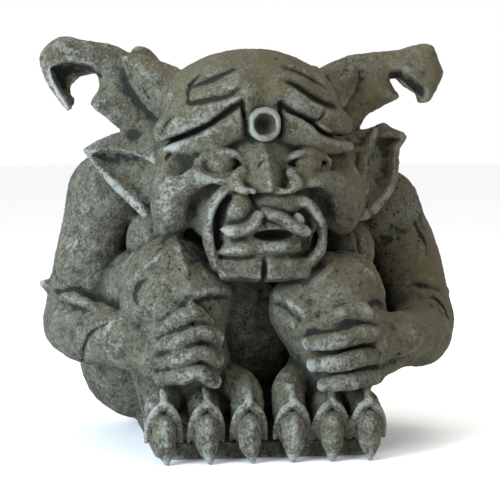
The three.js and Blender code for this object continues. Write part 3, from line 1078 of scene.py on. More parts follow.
def knob_tree() -> Tree:
    """Builds the tree that sets a row of rounded knobs along a curve.

    Returns:
        The tree, with inputs for the count, the size and the material.
    """
    tree = Tree("spine_knobs")
    count = tree.setting("Count", "NodeSocketInt")
    size = tree.setting("Size", "NodeSocketVector")
    resample = tree.node("GeometryNodeResampleCurve")
    ball = tree.node("GeometryNodeMeshIcoSphere")
    ball.inputs["Subdivisions"].default_value = 3
    ball.inputs["Radius"].default_value = 1.0
    place = tree.node("GeometryNodeInstanceOnPoints")
    tree.link(tree.start.outputs["Geometry"], resample.inputs["Curve"])
    tree.link(count, resample.inputs["Count"])
    tree.link(resample.outputs["Curve"], place.inputs["Points"])
    tree.link(ball.outputs["Mesh"], place.inputs["Instance"])
    tree.link(size, place.inputs["Scale"])
    tree.close(place.outputs["Instances"])
    return tree


def weather_tree() -> Tree:
    """Builds the tree that moves the skin of the stone along its normals: slow unevenness, tool marks and pits.

    Returns:
        The tree, with inputs for each depth and scale, the seed and the material.
    """
    tree = Tree("weathering")
    seed = tree.setting("Seed")
    normal = tree.node("GeometryNodeInputNormal")
    spot = tree.node("GeometryNodeInputPosition")
    total = None
    for name, detail, rough in (("Unevenness", 3.0, 0.5), ("Grain", 4.0, 0.6)):
        noise = tree.node("ShaderNodeTexNoise", noise_dimensions="4D")
        noise.inputs["Detail"].default_value = detail
        noise.inputs["Roughness"].default_value = rough
        tree.link(spot.outputs["Position"], noise.inputs["Vector"])
        tree.link(seed, noise.inputs["W"])
        tree.link(tree.setting(f"{name} scale"), noise.inputs["Scale"])
        centre = tree.node("ShaderNodeMath", operation="SUBTRACT")
        tree.link(noise.outputs[0], centre.inputs[0])
        centre.inputs[1].default_value = 0.5
        deep = tree.node("ShaderNodeMath", operation="MULTIPLY")
        tree.link(centre.outputs[0], deep.inputs[0])
        tree.link(tree.setting(f"{name} depth"), deep.inputs[1])
        if total is None:
            total = deep.outputs[0]
        else:
            add = tree.node("ShaderNodeMath", operation="ADD")
            tree.link(total, add.inputs[0])
            tree.link(deep.outputs[0], add.inputs[1])
            total = add.outputs[0]
    cells = tree.node("ShaderNodeTexVoronoi", feature="F1")
    tree.link(spot.outputs["Position"], cells.inputs["Vector"])
    tree.link(tree.setting("Pit scale"), cells.inputs["Scale"])
    pit = tree.node("ShaderNodeMapRange", interpolation_type="SMOOTHSTEP")
    tree.link(cells.outputs["Distance"], pit.inputs["Value"])
    pit.inputs["From Min"].default_value = 0.0
    pit.inputs["From Max"].default_value = 0.42
    pit.inputs["To Min"].default_value = -1.0
    pit.inputs["To Max"].default_value = 0.0
    patch = tree.node("ShaderNodeTexNoise", noise_dimensions="4D")
    patch.inputs["Detail"].default_value = 2.0
    tree.link(spot.outputs["Position"], patch.inputs["Vector"])
    tree.link(seed, patch.inputs["W"])
    tree.link(tree.setting("Patch scale"), patch.inputs["Scale"])
    rough = tree.node("ShaderNodeMapRange", interpolation_type="SMOOTHSTEP")
    tree.link(patch.outputs[0], rough.inputs["Value"])
    rough.inputs["From Min"].default_value = 0.42
    rough.inputs["From Max"].default_value = 0.62
    pitted = tree.node("ShaderNodeMath", operation="MULTIPLY")
    tree.link(pit.outputs["Result"], pitted.inputs[0])
    tree.link(rough.outputs["Result"], pitted.inputs[1])
    depth = tree.node("ShaderNodeMath", operation="MULTIPLY_ADD")
    tree.link(pitted.outputs[0], depth.inputs[0])
    tree.link(tree.setting("Pit depth"), depth.inputs[1])
    tree.link(total, depth.inputs[2])
    hold = tree.node("GeometryNodeInputNamedAttribute", data_type="FLOAT")
    hold.inputs["Name"].default_value = "roughness_here"
    held = tree.node("ShaderNodeMath", operation="MULTIPLY")
    tree.link(depth.outputs[0], held.inputs[0])
    tree.link(hold.outputs["Attribute"], held.inputs[1])
    push = tree.node("ShaderNodeVectorMath", operation="SCALE")
    tree.link(normal.outputs["Normal"], push.inputs["Vector"])
    tree.link(held.outputs[0], push.inputs["Scale"])
    move = tree.node("GeometryNodeSetPosition")
    tree.link(tree.start.outputs["Geometry"], move.inputs["Geometry"])
    tree.link(push.outputs["Vector"], move.inputs["Offset"])
    tree.close(move.outputs["Geometry"])
    return tree


# ------------------------------------------------------------------ the finish


@dataclass(frozen=True)
class WeatheredStoneWithPaintedShade:
    """Matt cast stone: grey dry-brushed edges over an olive-brown wash, with painted shade near-black in the hollows
    and the wash laid heavier on the right side and the tops as painted shade.
    """

    name: str = "weathered_stone"
    # deep: near-black painted shadow for the fine hollows, creases and cracks.
    deep: tuple = (0.010, 0.011, 0.008, 1)
    # dark: the stone's darker random tone, and also the painted shade in wide hollows.
    dark: tuple = (0.030, 0.029, 0.020, 1)
    body: tuple = (0.086, 0.082, 0.060, 1)
    pale: tuple = (0.250, 0.258, 0.240, 1)
    # wash: the olive-brown wash, also laid as painted shade heavier on the right side and the tops.
    wash_and_shade: tuple = (0.070, 0.056, 0.028, 1)
    moss: tuple = (0.060, 0.060, 0.020, 1)

    def noise(
        self, tree: bpy.types.NodeTree, coords: bpy.types.NodeSocket, scale: float, detail: float, rough: float = 0.55
    ) -> bpy.types.NodeSocket:
        """Adds a noise texture.

        Args:
            tree: The material's tree.
            coords: The coordinates to read.
            scale: Its scale, in turns to a metre.
            detail: Its octaves.
            rough: How strong the fine octaves are.

        Returns:
            Its grey output.
        """
        node = tree.nodes.new("ShaderNodeTexNoise")
        node.inputs["Scale"].default_value = scale
        node.inputs["Detail"].default_value = detail
        node.inputs["Roughness"].default_value = rough
        tree.links.new(coords, node.inputs["Vector"])
        return node.outputs[0]

    def reach(
        self, tree: bpy.types.NodeTree, value: bpy.types.NodeSocket, low: float, high: float, top: float = 1.0
    ) -> bpy.types.NodeSocket:
        """Turns a range of values into a smooth mask.

        Args:
            tree: The material's tree.
            value: The values.
            low: The value where the mask starts.
            high: The value where it is whole.
            top: How strong the whole mask is.

        Returns:
            The mask.
        """
        node = tree.nodes.new("ShaderNodeMapRange")
        node.interpolation_type = "SMOOTHSTEP"
        node.inputs["From Min"].default_value = low
        node.inputs["From Max"].default_value = high
        node.inputs["To Max"].default_value = top
        tree.links.new(value, node.inputs["Value"])
        return node.outputs["Result"]

    def maths(self, tree: bpy.types.NodeTree, kind: str, first: object,
        second: object) -> bpy.types.NodeSocket:
        """Combines two values.

        Args:
            tree: The material's tree.
            kind: The operation.
            first: The first value, a socket or a number.
            second: The second value, a socket or a number.

        Returns:
            The result.
        """
        node = tree.nodes.new("ShaderNodeMath")
        node.operation = kind
        for socket, value in zip(node.inputs, (first, second)):
            if isinstance(value, bpy.types.NodeSocket):
                tree.links.new(value, socket)
            else:
                socket.default_value = value
        return node.outputs[0]

    def layer(
        self, tree: bpy.types.NodeTree, below: object, colour: tuple, mask: bpy.types.NodeSocket
    ) -> bpy.types.NodeSocket:
        """Lays a colour over what is below.

        Args:
            tree: The material's tree.
            below: The colour below, a socket or a plain colour.
            colour: The colour to lay on.
            mask: Where it goes.

        Returns:
            The mixed colour.
        """
        node = tree.nodes.new("ShaderNodeMix")
        node.data_type = "RGBA"
        under, over = [socket for socket in node.inputs if socket.type == "RGBA"]
        if isinstance(below, bpy.types.NodeSocket):
            tree.links.new(below, under)
        else:
            under.default_value = below
        over.default_value = colour
        tree.links.new(mask, node.inputs["Factor"])
        return [socket for socket in node.outputs if socket.type == "RGBA"][0]

    def attribute(self, tree: bpy.types.NodeTree, name: str) -> bpy.types.NodeSocket:
        """Reads one of the mesh's values."""
        node = tree.nodes.new("ShaderNodeAttribute")
        node.attribute_name = name
        return node.outputs["Fac"]

    def make(self) -> bpy.types.Material:
        """Builds the material.

        Returns:
            The new material.
        """
        material = bpy.data.materials.new(self.name)
        material.use_nodes = True
        tree = material.node_tree
        shader = tree.nodes["Principled BSDF"]
        shader.inputs["Specular IOR Level"].default_value = 0.25
        coords = tree.nodes.new("ShaderNodeTexCoord").outputs["Object"]
        fine, wide, edge = (self.attribute(tree, name) for name in ("fine_hollow_shadow", "wide_hollow_shade", "edge"))
        wash_and_shade_here = self.attribute(tree, "wash_and_shade")
        patches = self.noise(tree, coords, 28, 4)
        mottle = self.noise(tree, coords, 130, 5, 0.6)
        grain = self.noise(tree, coords, 520, 4, 0.6)
        speck = self.noise(tree, coords, 1400, 2, 0.5)

        tone = self.maths(tree, "ADD", self.maths(tree, "MULTIPLY", mottle, 0.5),
            self.maths(tree, "MULTIPLY", grain, 0.5))
        colour = self.layer(tree, self.dark, self.body, self.reach(tree, tone, 0.36, 0.58))
        # Wash mask: the real wash plus painted shade, heavier towards +X, on upward faces and higher up.
        wash_and_shade = self.maths(tree, "MULTIPLY", wash_and_shade_here, self.reach(tree, patches, 0.30, 0.58, 0.85))
        colour = self.layer(tree, colour, self.wash_and_shade, wash_and_shade)
        rub = self.maths(tree, "ADD", edge,
            self.maths(tree, "MULTIPLY", self.maths(tree, "SUBTRACT", tone, 0.5), 2.2))
        rubbed = self.reach(tree, rub, 0.18, 1.1, 0.75)
        # Pale is held back where the wash lies, so worn edges on the right side and the tops stay darker: painted
        # shade.
        sparing = self.maths(tree, "SUBTRACT", 1.0, self.maths(tree, "MULTIPLY", wash_and_shade_here, 0.6))
        rubbed = self.maths(tree, "MULTIPLY", rubbed, sparing)
        colour = self.layer(tree, colour, self.pale, rubbed)
        # Greenish patches follow the wash mask, so they too lie heavier on the right side and the tops: stone colour
        # plus painted shade.
        green = self.maths(tree, "MULTIPLY",
            self.reach(tree, self.noise(tree, coords, 45, 3), 0.55, 0.68, 0.55), wash_and_shade_here)
        colour = self.layer(tree, colour, self.moss, green)
        # Painted shade: wide hollows and the gaps between limbs darken.
        colour = self.layer(tree, colour, self.dark, self.reach(tree, wide, 0.02, 0.60, 0.85))
        # Painted shadow: fine hollows, creases and cracks go near-black.
        colour = self.layer(tree, colour, self.deep, self.reach(tree, fine, 0.08, 0.50, 0.97))
        tree.links.new(colour, shader.inputs["Base Color"])

        roughness = tree.nodes.new("ShaderNodeMapRange")
        roughness.inputs["To Min"].default_value = 0.95
        roughness.inputs["To Max"].default_value = 0.68
        tree.links.new(rubbed, roughness.inputs["Value"])
        tree.links.new(roughness.outputs["Result"], shader.inputs["Roughness"])

        relief = self.maths(tree, "ADD", self.maths(tree, "MULTIPLY", grain, 0.6),
            self.maths(tree, "MULTIPLY", speck, 0.25))
        relief = self.maths(tree, "ADD", relief, self.maths(tree, "MULTIPLY", mottle, 0.8))
        bump = tree.nodes.new("ShaderNodeBump")
        bump.inputs["Strength"].default_value = 0.9
        bump.inputs["Distance"].default_value = 0.0016
        tree.links.new(relief, bump.inputs["Height"])
        tree.links.new(bump.outputs["Normal"], shader.inputs["Normal"])
        return material


# ------------------------------------------------------------------ the studio


@dataclass
class Studio:
    """A plain pale floor, soft lights and the camera."""

    azimuth: float = -8.0
    elevation: float = 4.0
    distance: float = 1.3
    target: Point = (0.0, -0.020, 0.133)
    lens: float = 133.714

    def floor(self) -> None:
        """Lays the pale floor."""
        mesh = bpy.data.meshes.new("floor")
        far = 8.0
        mesh.from_pydata([(-far, -far, 0), (far, -far, 0), (far, far, 0), (-far, far, 0)], [], [(0, 1, 2, 3)])
        floor = bpy.data.objects.new("floor", mesh)
        bpy.context.collection.objects.link(floor)
        material = bpy.data.materials.new("pale_floor")
        material.use_nodes = True
        shader = material.node_tree.nodes["Principled BSDF"]
        shader.inputs["Base Color"].default_value = (0.93, 0.93, 0.93, 1)
        shader.inputs["Roughness"].default_value = 0.95
        mesh.materials.append(material)

    def lamp(self, name: str, place: Point, size: float, power: float, colour: Point) -> None:
        """Hangs one soft square lamp that looks at the object.

        Args:
            name: The lamp's name.
            place: Where it hangs, in metres.
            size: Its width, in metres.
            power: Its power in watts.
            colour: Its colour.
        """
        light = bpy.data.lights.new(name, "AREA")
        light.size = size
        light.energy = power
        light.color = colour
        lamp = bpy.data.objects.new(name, light)
        lamp.location = place
        lamp.rotation_euler = (Vector(self.target) - Vector(place)).to_track_quat("-Z", "Y").to_euler()
        bpy.context.collection.objects.link(lamp)

    def camera(self) -> None:
        """Sets the camera up."""
        a, e = math.radians(self.azimuth), math.radians(self.elevation)
        back = Vector((math.sin(a) * math.cos(e), -math.cos(a) * math.cos(e), math.sin(e)))
        data = bpy.data.cameras.new("camera")
        data.lens = self.lens
        data.sensor_width = 36
        camera = bpy.data.objects.new("camera", data)
        camera.location = Vector(self.target) + back * self.distance
        camera.rotation_euler = (-back).to_track_quat("-Z", "Y").to_euler()
        bpy.context.collection.objects.link(camera)
        bpy.context.scene.camera = camera

    def build(self) -> None:
        """Builds the whole studio."""
        self.floor()
        self.lamp("window", (-1.25, -0.85, 0.55), 0.8, 52, (0.70, 0.86, 1.0))
        self.lamp("top", (0.2, -0.1, 1.5), 0.9, 8, (1.0, 0.95, 0.84))
        world = bpy.data.worlds.new("studio")
        world.use_nodes = True
        background = world.node_tree.nodes["Background"]
        background.inputs["Color"].default_value = (1.0, 1.0, 1.0, 1)
        background.inputs["Strength"].default_value = 1.0
        bpy.context.scene.world = world
        bpy.context.scene.view_settings.view_transform = "Standard"
        self.camera()


# ------------------------------------------------------------------ the whole figure


@dataclass
class Gargoyle:
    """The whole casting: its sub-assemblies, the block they are carved in and the finished skin."""

    cell: float = 1.15
    most_triangles: int = 188_000
    knobs: int = 6
    knob_half: Point = (9.0, 7.0, 10.0)
    spine_top: float = 196.0
    spine_bottom: float = 46.0
    margin: float = 0.8
    sliver: float = 0.02
    trunk: Trunk = field(default_factory=Trunk)

    def parts(self) -> list[Carving]:
        """Lists the sub-assemblies in the order they are carved."""
        return [
            self.trunk,
            Slab(),
            *legs(),
            *feet(),
            *arms(),
            *hands(),
            Skull(),
            *ears(),
            *horns(),
            *cheeks(),
            *eyes(),
            mouth(),
            nose(),
            ThirdEye(),
            furrows(),
            cracks(),
        ]

    def carve(self) -> Block:
        """Carves the whole figure.

        Returns:
            The carved block.
        """
        block = Block((-153, -130, -4), (157, 124, 288), self.cell)
        parts = self.parts()
        for part in parts:
            part.carve(block)
            log.info("carved %s", type(part).__name__)
        self.spine(block)
        for part in parts:
            part.line(block)
        block.flatten(0.0)
        block.trim(np.array(SOLID_LOW) / MM, np.array(SOLID_HIGH) / MM, self.margin)
        return block

    def spine(self, block: Block) -> None:
        """Sets the knobs of the spine down the back and carves them into the block.

        Args:
            block: The block to add them to.
        """
        curve = bpy.data.curves.new("spine_line", "CURVE")
        curve.dimensions = "3D"
        line = curve.splines.new("POLY")
        heights = np.linspace(self.spine_bottom, self.spine_top, 24)
        line.points.add(len(heights) - 1)
        for point, z in zip(line.points, heights):
            point.co = (0, self.trunk.back_at(z), z, 1)
        guide = bpy.data.objects.new("spine_line", curve)
        bpy.context.collection.objects.link(guide)
        mesh = knob_tree().apply(guide, {"Count": self.knobs, "Size": self.knob_half, "Material": None})
        bpy.data.objects.remove(guide)
        points = np.empty(len(mesh.vertices) * 3, dtype=np.float32)
        mesh.vertices.foreach_get("co", points)
        corners = np.empty(len(mesh.loops), dtype=np.int32)
        mesh.loops.foreach_get("vertex_index", corners)
        block.add_mesh(points.reshape(-1, 3), corners.reshape(-1, 3), blend=5)
        log.info("carved %d spine knobs", self.knobs)

    def skin(self, block: Block, finish: bpy.types.Material) -> bpy.types.Object:
        """Draws the skin of the carved block, weathers it and dresses it.

        Args:
            block: The carved block.
            finish: The stone's material.

        Returns:
            The finished piece.
        """
        points, quads = block.surface()
        mesh = bpy.data.meshes.new("rough_skin")
        mesh.from_pydata([], [], [])
        mesh.vertices.add(len(points))
        mesh.vertices.foreach_set("co", (points * MM).astype(np.float32).ravel())
        mesh.loops.add(4 * len(quads))
        mesh.loops.foreach_set("vertex_index", quads.astype(np.int32).ravel())
        mesh.polygons.add(len(quads))
        mesh.polygons.foreach_set("loop_start", np.arange(0, 4 * len(quads), 4, dtype=np.int32))
        mesh.update(calc_edges=True)
        rough = mesh.attributes.new("roughness_here", "FLOAT", "POINT")
        rough.data.foreach_set("value", self.roughness(points).astype(np.float32))
        raw = bpy.data.objects.new("rough_skin", mesh)
        bpy.context.collection.objects.link(raw)
        log.info("drew a skin of %d points and %d faces", len(points), len(quads))

        settings = {
            "Seed": float(SEED),
            "Unevenness scale": 42.0,
            "Unevenness depth": 0.0028,
            "Grain scale": 190.0,
            "Grain depth": 0.0022,
            "Pit scale": 230.0,
            "Pit depth": 0.0011,
            "Patch scale": 26.0,
            "Material": finish,
        }
        ratio = min(1.0, self.most_triangles / (2 * len(quads)))
        skin = weather_tree().apply(raw, settings, extra=ratio)
        bpy.data.objects.remove(raw)
        skin.name = "gargoyle_stone"
        piece = bpy.data.objects.new("gargoyle_stone", skin)
        bpy.context.collection.objects.link(piece)
        for name in [attribute.name for attribute in skin.attributes if attribute.name == "roughness_here"]:
            skin.attributes.remove(skin.attributes[name])
        self.clean(skin)
        self.dress(skin, block)
        log.info("finished the stone with %d triangles",
            sum(len(face.vertices) - 2 for face in skin.polygons))
        return piece

    def clean(self, skin: bpy.types.Mesh) -> None:
        """Takes out slivers, and every speck that isn't joined to the stone.

        Args:
            skin: The mesh to clean.
        """
        work = bmesh.new()
        work.from_mesh(skin)
        bmesh.ops.dissolve_degenerate(work, dist=self.sliver * MM, edges=work.edges)
        bmesh.ops.triangulate(work, faces=[face for face in work.faces if len(face.verts) > 3])
        waiting = set(work.verts)
        islands = []
        while waiting:
            island = [waiting.pop()]
            for vertex in island:
                near = {edge.other_vert(vertex) for edge in vertex.link_edges} & waiting
                waiting -= near
                island.extend(near)
            islands.append(island)
        islands.sort(key=len)
        specks = [vertex for island in islands[:-1] for vertex in island]
        bmesh.ops.delete(work, geom=specks, context="VERTS")
        work.to_mesh(skin)
        work.free()
        log.info("took out %d specks", len(islands) - 1)

    def roughness(self, points: np.ndarray) -> np.ndarray:
        """Says how rough the stone is at each point: smooth on the claws and the face, none under the foot.

        Args:
            points: The points in millimetres.

        Returns:
            One value to a point, 1 for full roughness.
        """
        x, y, z = points.T
        value = np.ones(len(points))
        face = np.exp(-(((x - HEAD_X) / 42) ** 2 + ((z - 180) / 52) ** 2)) * (y < -60)
        claws = (y < -103) & (z < 36)
        value *= 1 - 0.62 * face
        value[claws] *= 0.45
        value *= np.clip(z / 3.0, 0, 1)
        return value

    def dress(self, skin: bpy.types.Mesh, block: Block) -> None:
        """Writes the values that the finish reads: hollows that it paints shade into, worn edges, and where the wash
        lies, which also paints shade on the right side and the tops.

        Args:
            skin: The finished mesh.
            block: The carved block.
        """
        count = len(skin.vertices)
        points = np.empty(count * 3, dtype=np.float64)
        skin.vertices.foreach_get("co", points)
        points = points.reshape(-1, 3) / MM
        normals = np.empty(count * 3, dtype=np.float64)
        skin.vertex_normals.foreach_get("vector", normals)
        normals = normals.reshape(-1, 3)
        # Hollow masks from the blurred carving: the finish paints shadow into the fine hollows and shade into the
        # wide ones; edge marks the worn convex places.
        fine = block.sample(block.blurred(2.4, 6.0), points) / 1.5
        wide = block.sample(block.blurred(7.0, 14.0), points) / 5.0
        x, y, z = points.T
        up = np.clip(normals[:, 2], 0, 1)
        # Wash mask: the real wash plus painted shade, heavier towards +X, on upward faces and higher up, where the
        # light fell warmer and dimmer.
        wash_and_shade = np.clip(0.30 + 0.45 * (x / 110) + 0.40 * up + 0.25 * (z - 150) / 100, 0, 1)
        values = {"fine_hollow_shadow": -fine, "wide_hollow_shade": -wide, "edge": fine, "wash_and_shade": wash_and_shade}
        for name, value in values.items():
            layer = skin.attributes.new(name, "FLOAT", "POINT")
            layer.data.foreach_set("value", value.astype(np.float32))
        skin.shade_smooth()


# ------------------------------------------------------------------ the sizes of each sub-assembly


def legs() -> list[Leg]:
    """Returns the two legs."""
    left = Leg(
        hip=Egg((-65, 44, 51), (51, 48, 46)),
        thigh=Limb([(-66, 46, 62), (-68, -6, 98), (-58, -58, 110)], [42, 38, 31]),
        knee=Egg((-57, -68, 104), (38, 29, 30)),
        kneecap=Egg((-59, -66, 128), (20, 21, 16)),
        shin=Limb([(-57, -72, 102), (-50, -70, 73), (-42, -62, 42)], [33, 27, 25]),
        calf=Limb([(-62, -30, 86), (-52, -26, 30)], [32, 26]),
        ridges=[
            [(-58, 148), (-56, 137), (-53, 123), (-51, 110)],
            [(-56, 145), (-68, 136), (-84, 124), (-94, 110)],
            [(-55, 103), (-46, 110), (-32, 113), (-19, 111)],
        ],
        creases=[[(-76, 120), (-83, 116), (-86, 108), (-84, 100)],
            [(-50, 105), (-42, 107), (-30, 107), (-20, 105)]],
    )
    right = Leg(
        hip=Egg((57, 42, 49), (49, 47, 44)),
        thigh=Limb([(60, 44, 58), (60, -8, 90), (50, -58, 100)], [42, 38, 31]),
        knee=Egg((46, -70, 96), (40, 28, 30)),
        kneecap=Egg((57, -64, 116), (21, 22, 16)),
        shin=Limb([(46, -74, 92), (48, -70, 66), (43, -62, 38)], [34, 27, 25]),
        calf=Limb([(56, -30, 78), (52, -26, 28)], [32, 26]),
        ridges=[
            [(52, 134), (44, 125), (34, 117), (28, 106)],
            [(53, 133), (66, 127), (78, 117), (86, 104)],
            [(5, 106), (14, 104), (22, 99), (28, 92)],
        ],
        creases=[[(4, 101), (12, 100), (19, 94), (27, 88)], [(84, 98), (76, 102), (66, 101)]],
    )
    return [left, right]


def feet() -> list[Foot]:
    """Returns the two feet."""
    return [
        Foot(Side.LEFT, ankle=-42, toes=[-69, -41, -13], rises=[43, 42, 52]),
        Foot(Side.RIGHT, ankle=43, toes=[16, 42, 67], rises=[52, 42, 41]),
    ]


def arms() -> list[Arm]:
    """Returns the two arms."""
    left = Arm(
        shoulder=Egg((-95, 13, 171), (30, 34, 30)),
        upper=Limb([(-96, 14, 172), (-108, 8, 138), (-120, 0, 86)], [28, 24, 23]),
        spur=Limb([(-124, 2, 103), (-143, 3, 109)], [11, 3]),
        forearm=Limb([(-121, -4, 82), (-112, -36, 79), (-92, -74, 78)], [23, 22, 17]),
        breast=Egg((-70, -24, 141), (17, 22, 20)),
        creases=[[(-140, 106), (-132, 105), (-122, 107), (-112, 103), (-104, 94)],
            [(-134, 99), (-122, 96), (-110, 96)]],
    )
    right = Arm(
        shoulder=Egg((97, 13, 160), (31, 34, 29)),
        upper=Limb([(98, 14, 162), (115, 8, 130), (126.5, 0, 82)], [27, 25, 24]),
        spur=Limb([(130, 2, 97), (145, 4, 99)], [10, 4]),
        forearm=Limb([(127, -4, 80), (117, -36, 73), (95, -74, 75)], [23, 22, 17]),
        breast=Egg((69, -20, 130), (19, 24, 26)),
        creases=[[(110, 103), (119, 107), (129, 105), (140, 101)]],
    )
    return [left, right]


def hands() -> list[Hand]:
    """Returns the two hands."""
    left = Hand(
        palm=Limb([(-96, -72, 78), (-70, -92, 73)], [9, 9], [2.0, 2.3]),
        fingers=[
            [(-69, -95, 86), (-59, -104, 93), (-50, -109, 98), (-41, -104, 91)],
            [(-69, -97, 76), (-57, -107, 81), (-45, -111, 86), (-34, -104, 81)],
            [(-69, -97, 65), (-57, -107, 69), (-45, -111, 73), (-34, -104, 67)],
            [(-69, -96, 55), (-57, -105, 58), (-46, -110, 60), (-36, -104, 53)],
        ],
        tendons=[],
    )
    right = Hand(
        palm=Limb([(98, -72, 75), (75, -90, 74)], [9, 9], [2.0, 2.2]),
        fingers=[
            [(73, -92, 91), (63, -100, 97), (51, -105, 97), (41, -104, 93)],
            [(73, -94, 82), (61, -104, 82), (44, -109, 79), (28, -104, 77)],
            [(73, -94, 66), (62, -104, 67), (46, -110, 64), (31, -104, 63)],
            [(75, -92, 53), (65, -101, 53), (50, -108, 51), (38, -104, 49)],
        ],
        tendons=[
            [(75, -91, 92), (89, -80, 88), (104, -64, 84)],
            [(75, -93, 82), (90, -82, 80), (106, -66, 79)],
            [(75, -93, 67), (90, -82, 68), (106, -66, 72)],
            [(77, -91, 54), (91, -80, 58), (105, -64, 64)],
        ],
    )
    return [left, right]


def ears() -> list[Ear]:
    """Returns the two ears."""
    left = Ear(
        blade=Leaf(
            [
                *[(-116.5, -20, 203.5), (-104.5, -19, 210), (-90, -20, 215.5), (-70, -28, 217),
                    (-52, -38, 206)],
                *[(-46, -44, 180), (-54, -46, 154), (-66, -42, 149), (-72, -40, 153), (-78.5, -38, 160)],
                *[(-92, -32, 173), (-105, -25, 187)],
            ],
            rim=2.4,
            body=9,
            swell=16,
        ),
        cup=Leaf(
            [
                *[(-111.5, -25, 200.5), (-101, -27, 203), (-88, -31, 202), (-75, -37, 198), (-64, -43, 193)],
                *[(-57, -52, 180), (-59, -52, 162), (-67, -47, 153.5), (-78, -43, 164), (-91, -37, 177),
                    (-103, -29, 190)],
            ],
            rim=0.4,
            body=9,
            swell=12,
            round_off=0.2,
        ),
        fold=Limb([(-66, -46, 150), (-63, -52, 162), (-62, -50, 178)], [3, 5, 5]),
    )
    right = Ear(
        blade=Leaf(
            [
                *[(58, -36, 212), (72.5, -28, 215.5), (84, -24, 218), (94.5, -20, 222), (100, -19, 218.5),
                    (112, -18, 212.5)],
                *[(106.5, -20, 203.5), (105.5, -22, 190), (101, -26, 175), (92, -31, 164), (82, -36, 156)],
                *[(70, -42, 153.5), (56, -46, 156), (50, -44, 180)],
            ],
            rim=2.4,
            body=9,
            swell=16,
        ),
        cup=Leaf(
            [
                *[(88, -32, 214), (97, -27, 214.5), (108, -24, 211), (102.5, -27, 203), (101.5, -29, 190),
                    (97, -32, 177)],
                *[(84, -40, 163), (76, -45, 161), (74, -45, 176), (77, -42, 189), (81, -38, 200)],
            ],
            rim=0.4,
            body=10,
            swell=10,
            round_off=0.2,
        ),
        fold=Limb([(87, -30, 217), (79, -38, 202), (74, -44, 188), (70, -48, 172)], [2, 3, 4, 5]),
    )
    return [left, right]


def horns() -> list[Horn]:
    """Returns the two horns."""
    left = Horn(
        root=Limb([(-50, -18, 230), (-70, -16, 241), (-88, -14, 248)], [17, 16, 14], [1.5, 1.5, 1.5]),
        hook=Leaf(
            [
                *[(-50, -16, 256), (-66, -16, 263), (-81, -14, 269), (-88.5, -13, 272.5), (-97.5, -13, 276),
                    (-108, -14, 277.5)],
                *[(-118, -15, 279), (-128, -16, 281), (-138.5, -17, 276.5), (-145.5, -19, 266.5),
                    (-141.5, -22, 251.5)],
                *[(-134, -25, 239), (-126.5, -27, 230.5), (-120.5, -26, 237.5), (-121.5, -24, 244.5),
                    (-117.5, -22, 251)],
                *[(-110.5, -20, 255), (-106, -19, 254.5), (-104.5, -19, 246), (-110.5, -19, 235),
                    (-100.5, -18, 226.5)],
                *[(-88, -18, 216), (-66, -18, 206), (-46, -18, 220)],
            ],
            rim=6,
            body=13.5,
            swell=11,
            round_off=2.5,
        ),
        scoop=Leaf(
            [
                *[(-139, -34, 259), (-128, -34, 264), (-119, -34, 263), (-108, -33, 260), (-101, -33, 252),
                    (-113, -34, 246)],
                *[(-117, -35, 236), (-124, -36, 230), (-130, -36, 238), (-136.5, -35, 249)],
            ],
            rim=2,
            body=19,
            swell=9,
            round_off=0.5,
        ),
        fold=Leaf(
            [
                *[(-89, -22, 267), (-78, -24, 269), (-64, -26, 264), (-48, -30, 256), (-38, -34, 240),
                    (-52, -36, 222)],
                *[(-68, -32, 227), (-80, -27, 241), (-87, -23, 254)],
            ],
            rim=9,
            body=20,
            swell=17,
            round_off=1.5,
        ),
        lobe=Leaf(
            [
                *[(-84, 0, 262), (-80, 2, 273), (-73, 3, 275), (-65, 3, 270), (-54.5, 2, 256), (-56, 0, 242),
                    (-78, 0, 246)],
            ],
            rim=5,
            body=12,
            swell=10,
            round_off=3,
        ),
    )
    right = Horn(
        root=Limb([(46, -18, 234), (66, -16, 243), (84, -14, 248)], [16, 15, 13], [1.4, 1.4, 1.4]),
        hook=Leaf(
            [
                *[(44, -18, 252), (52, -16, 258), (59, -15, 264), (69, -14, 268.5), (79, -13, 270.5),
                    (91, -13, 271.5)],
                *[(107.5, -13, 273), (116.5, -13, 276), (125, -14, 277.5), (130.5, -15, 276),
                    (133, -17, 268.5)],
                *[(137, -19, 258), (135.5, -21, 253), (132, -22, 247), (126.5, -25, 237.5),
                    (119.5, -26, 236), (117, -24, 242)],
                *[(110, -21, 247), (104.5, -20, 252.5), (98.5, -19, 252), (101.5, -19, 246),
                    (105.5, -20, 240.5)],
                *[(102.5, -20, 237.5), (95.5, -20, 234.5), (88.5, -20, 232), (80, -20, 225), (72, -20, 213),
                    (50, -20, 212)],
                *[(40, -20, 232)],
            ],
            rim=6,
            body=12.5,
            swell=11,
            round_off=2.5,
        ),
        scoop=Leaf(
            [
                *[(95, -34, 250), (96, -34, 257), (104, -34, 260), (112, -34, 255), (120, -34, 247),
                    (121, -35, 238)],
                *[(112, -34, 244), (104, -34, 249), (99, -34, 247)],
            ],
            rim=2,
            body=15,
            swell=7,
            round_off=0.5,
        ),
        fold=Leaf(
            [
                *[(60, -22, 263), (70, -24, 262), (74, -24, 252), (66, -28, 236), (54, -34, 226),
                    (42, -36, 234)],
                *[(42, -32, 250), (50, -26, 258)],
            ],
            rim=9,
            body=18,
            swell=15,
            round_off=1.5,
        ),
        lobe=Leaf(
            [(38, 0, 256), (45, 0, 262), (51, 0, 261), (56, 0, 254), (54, 0, 244), (40, 0, 246)],
            rim=4,
            body=9,
            swell=8,
            round_off=2,
        ),
    )
    return [left, right]


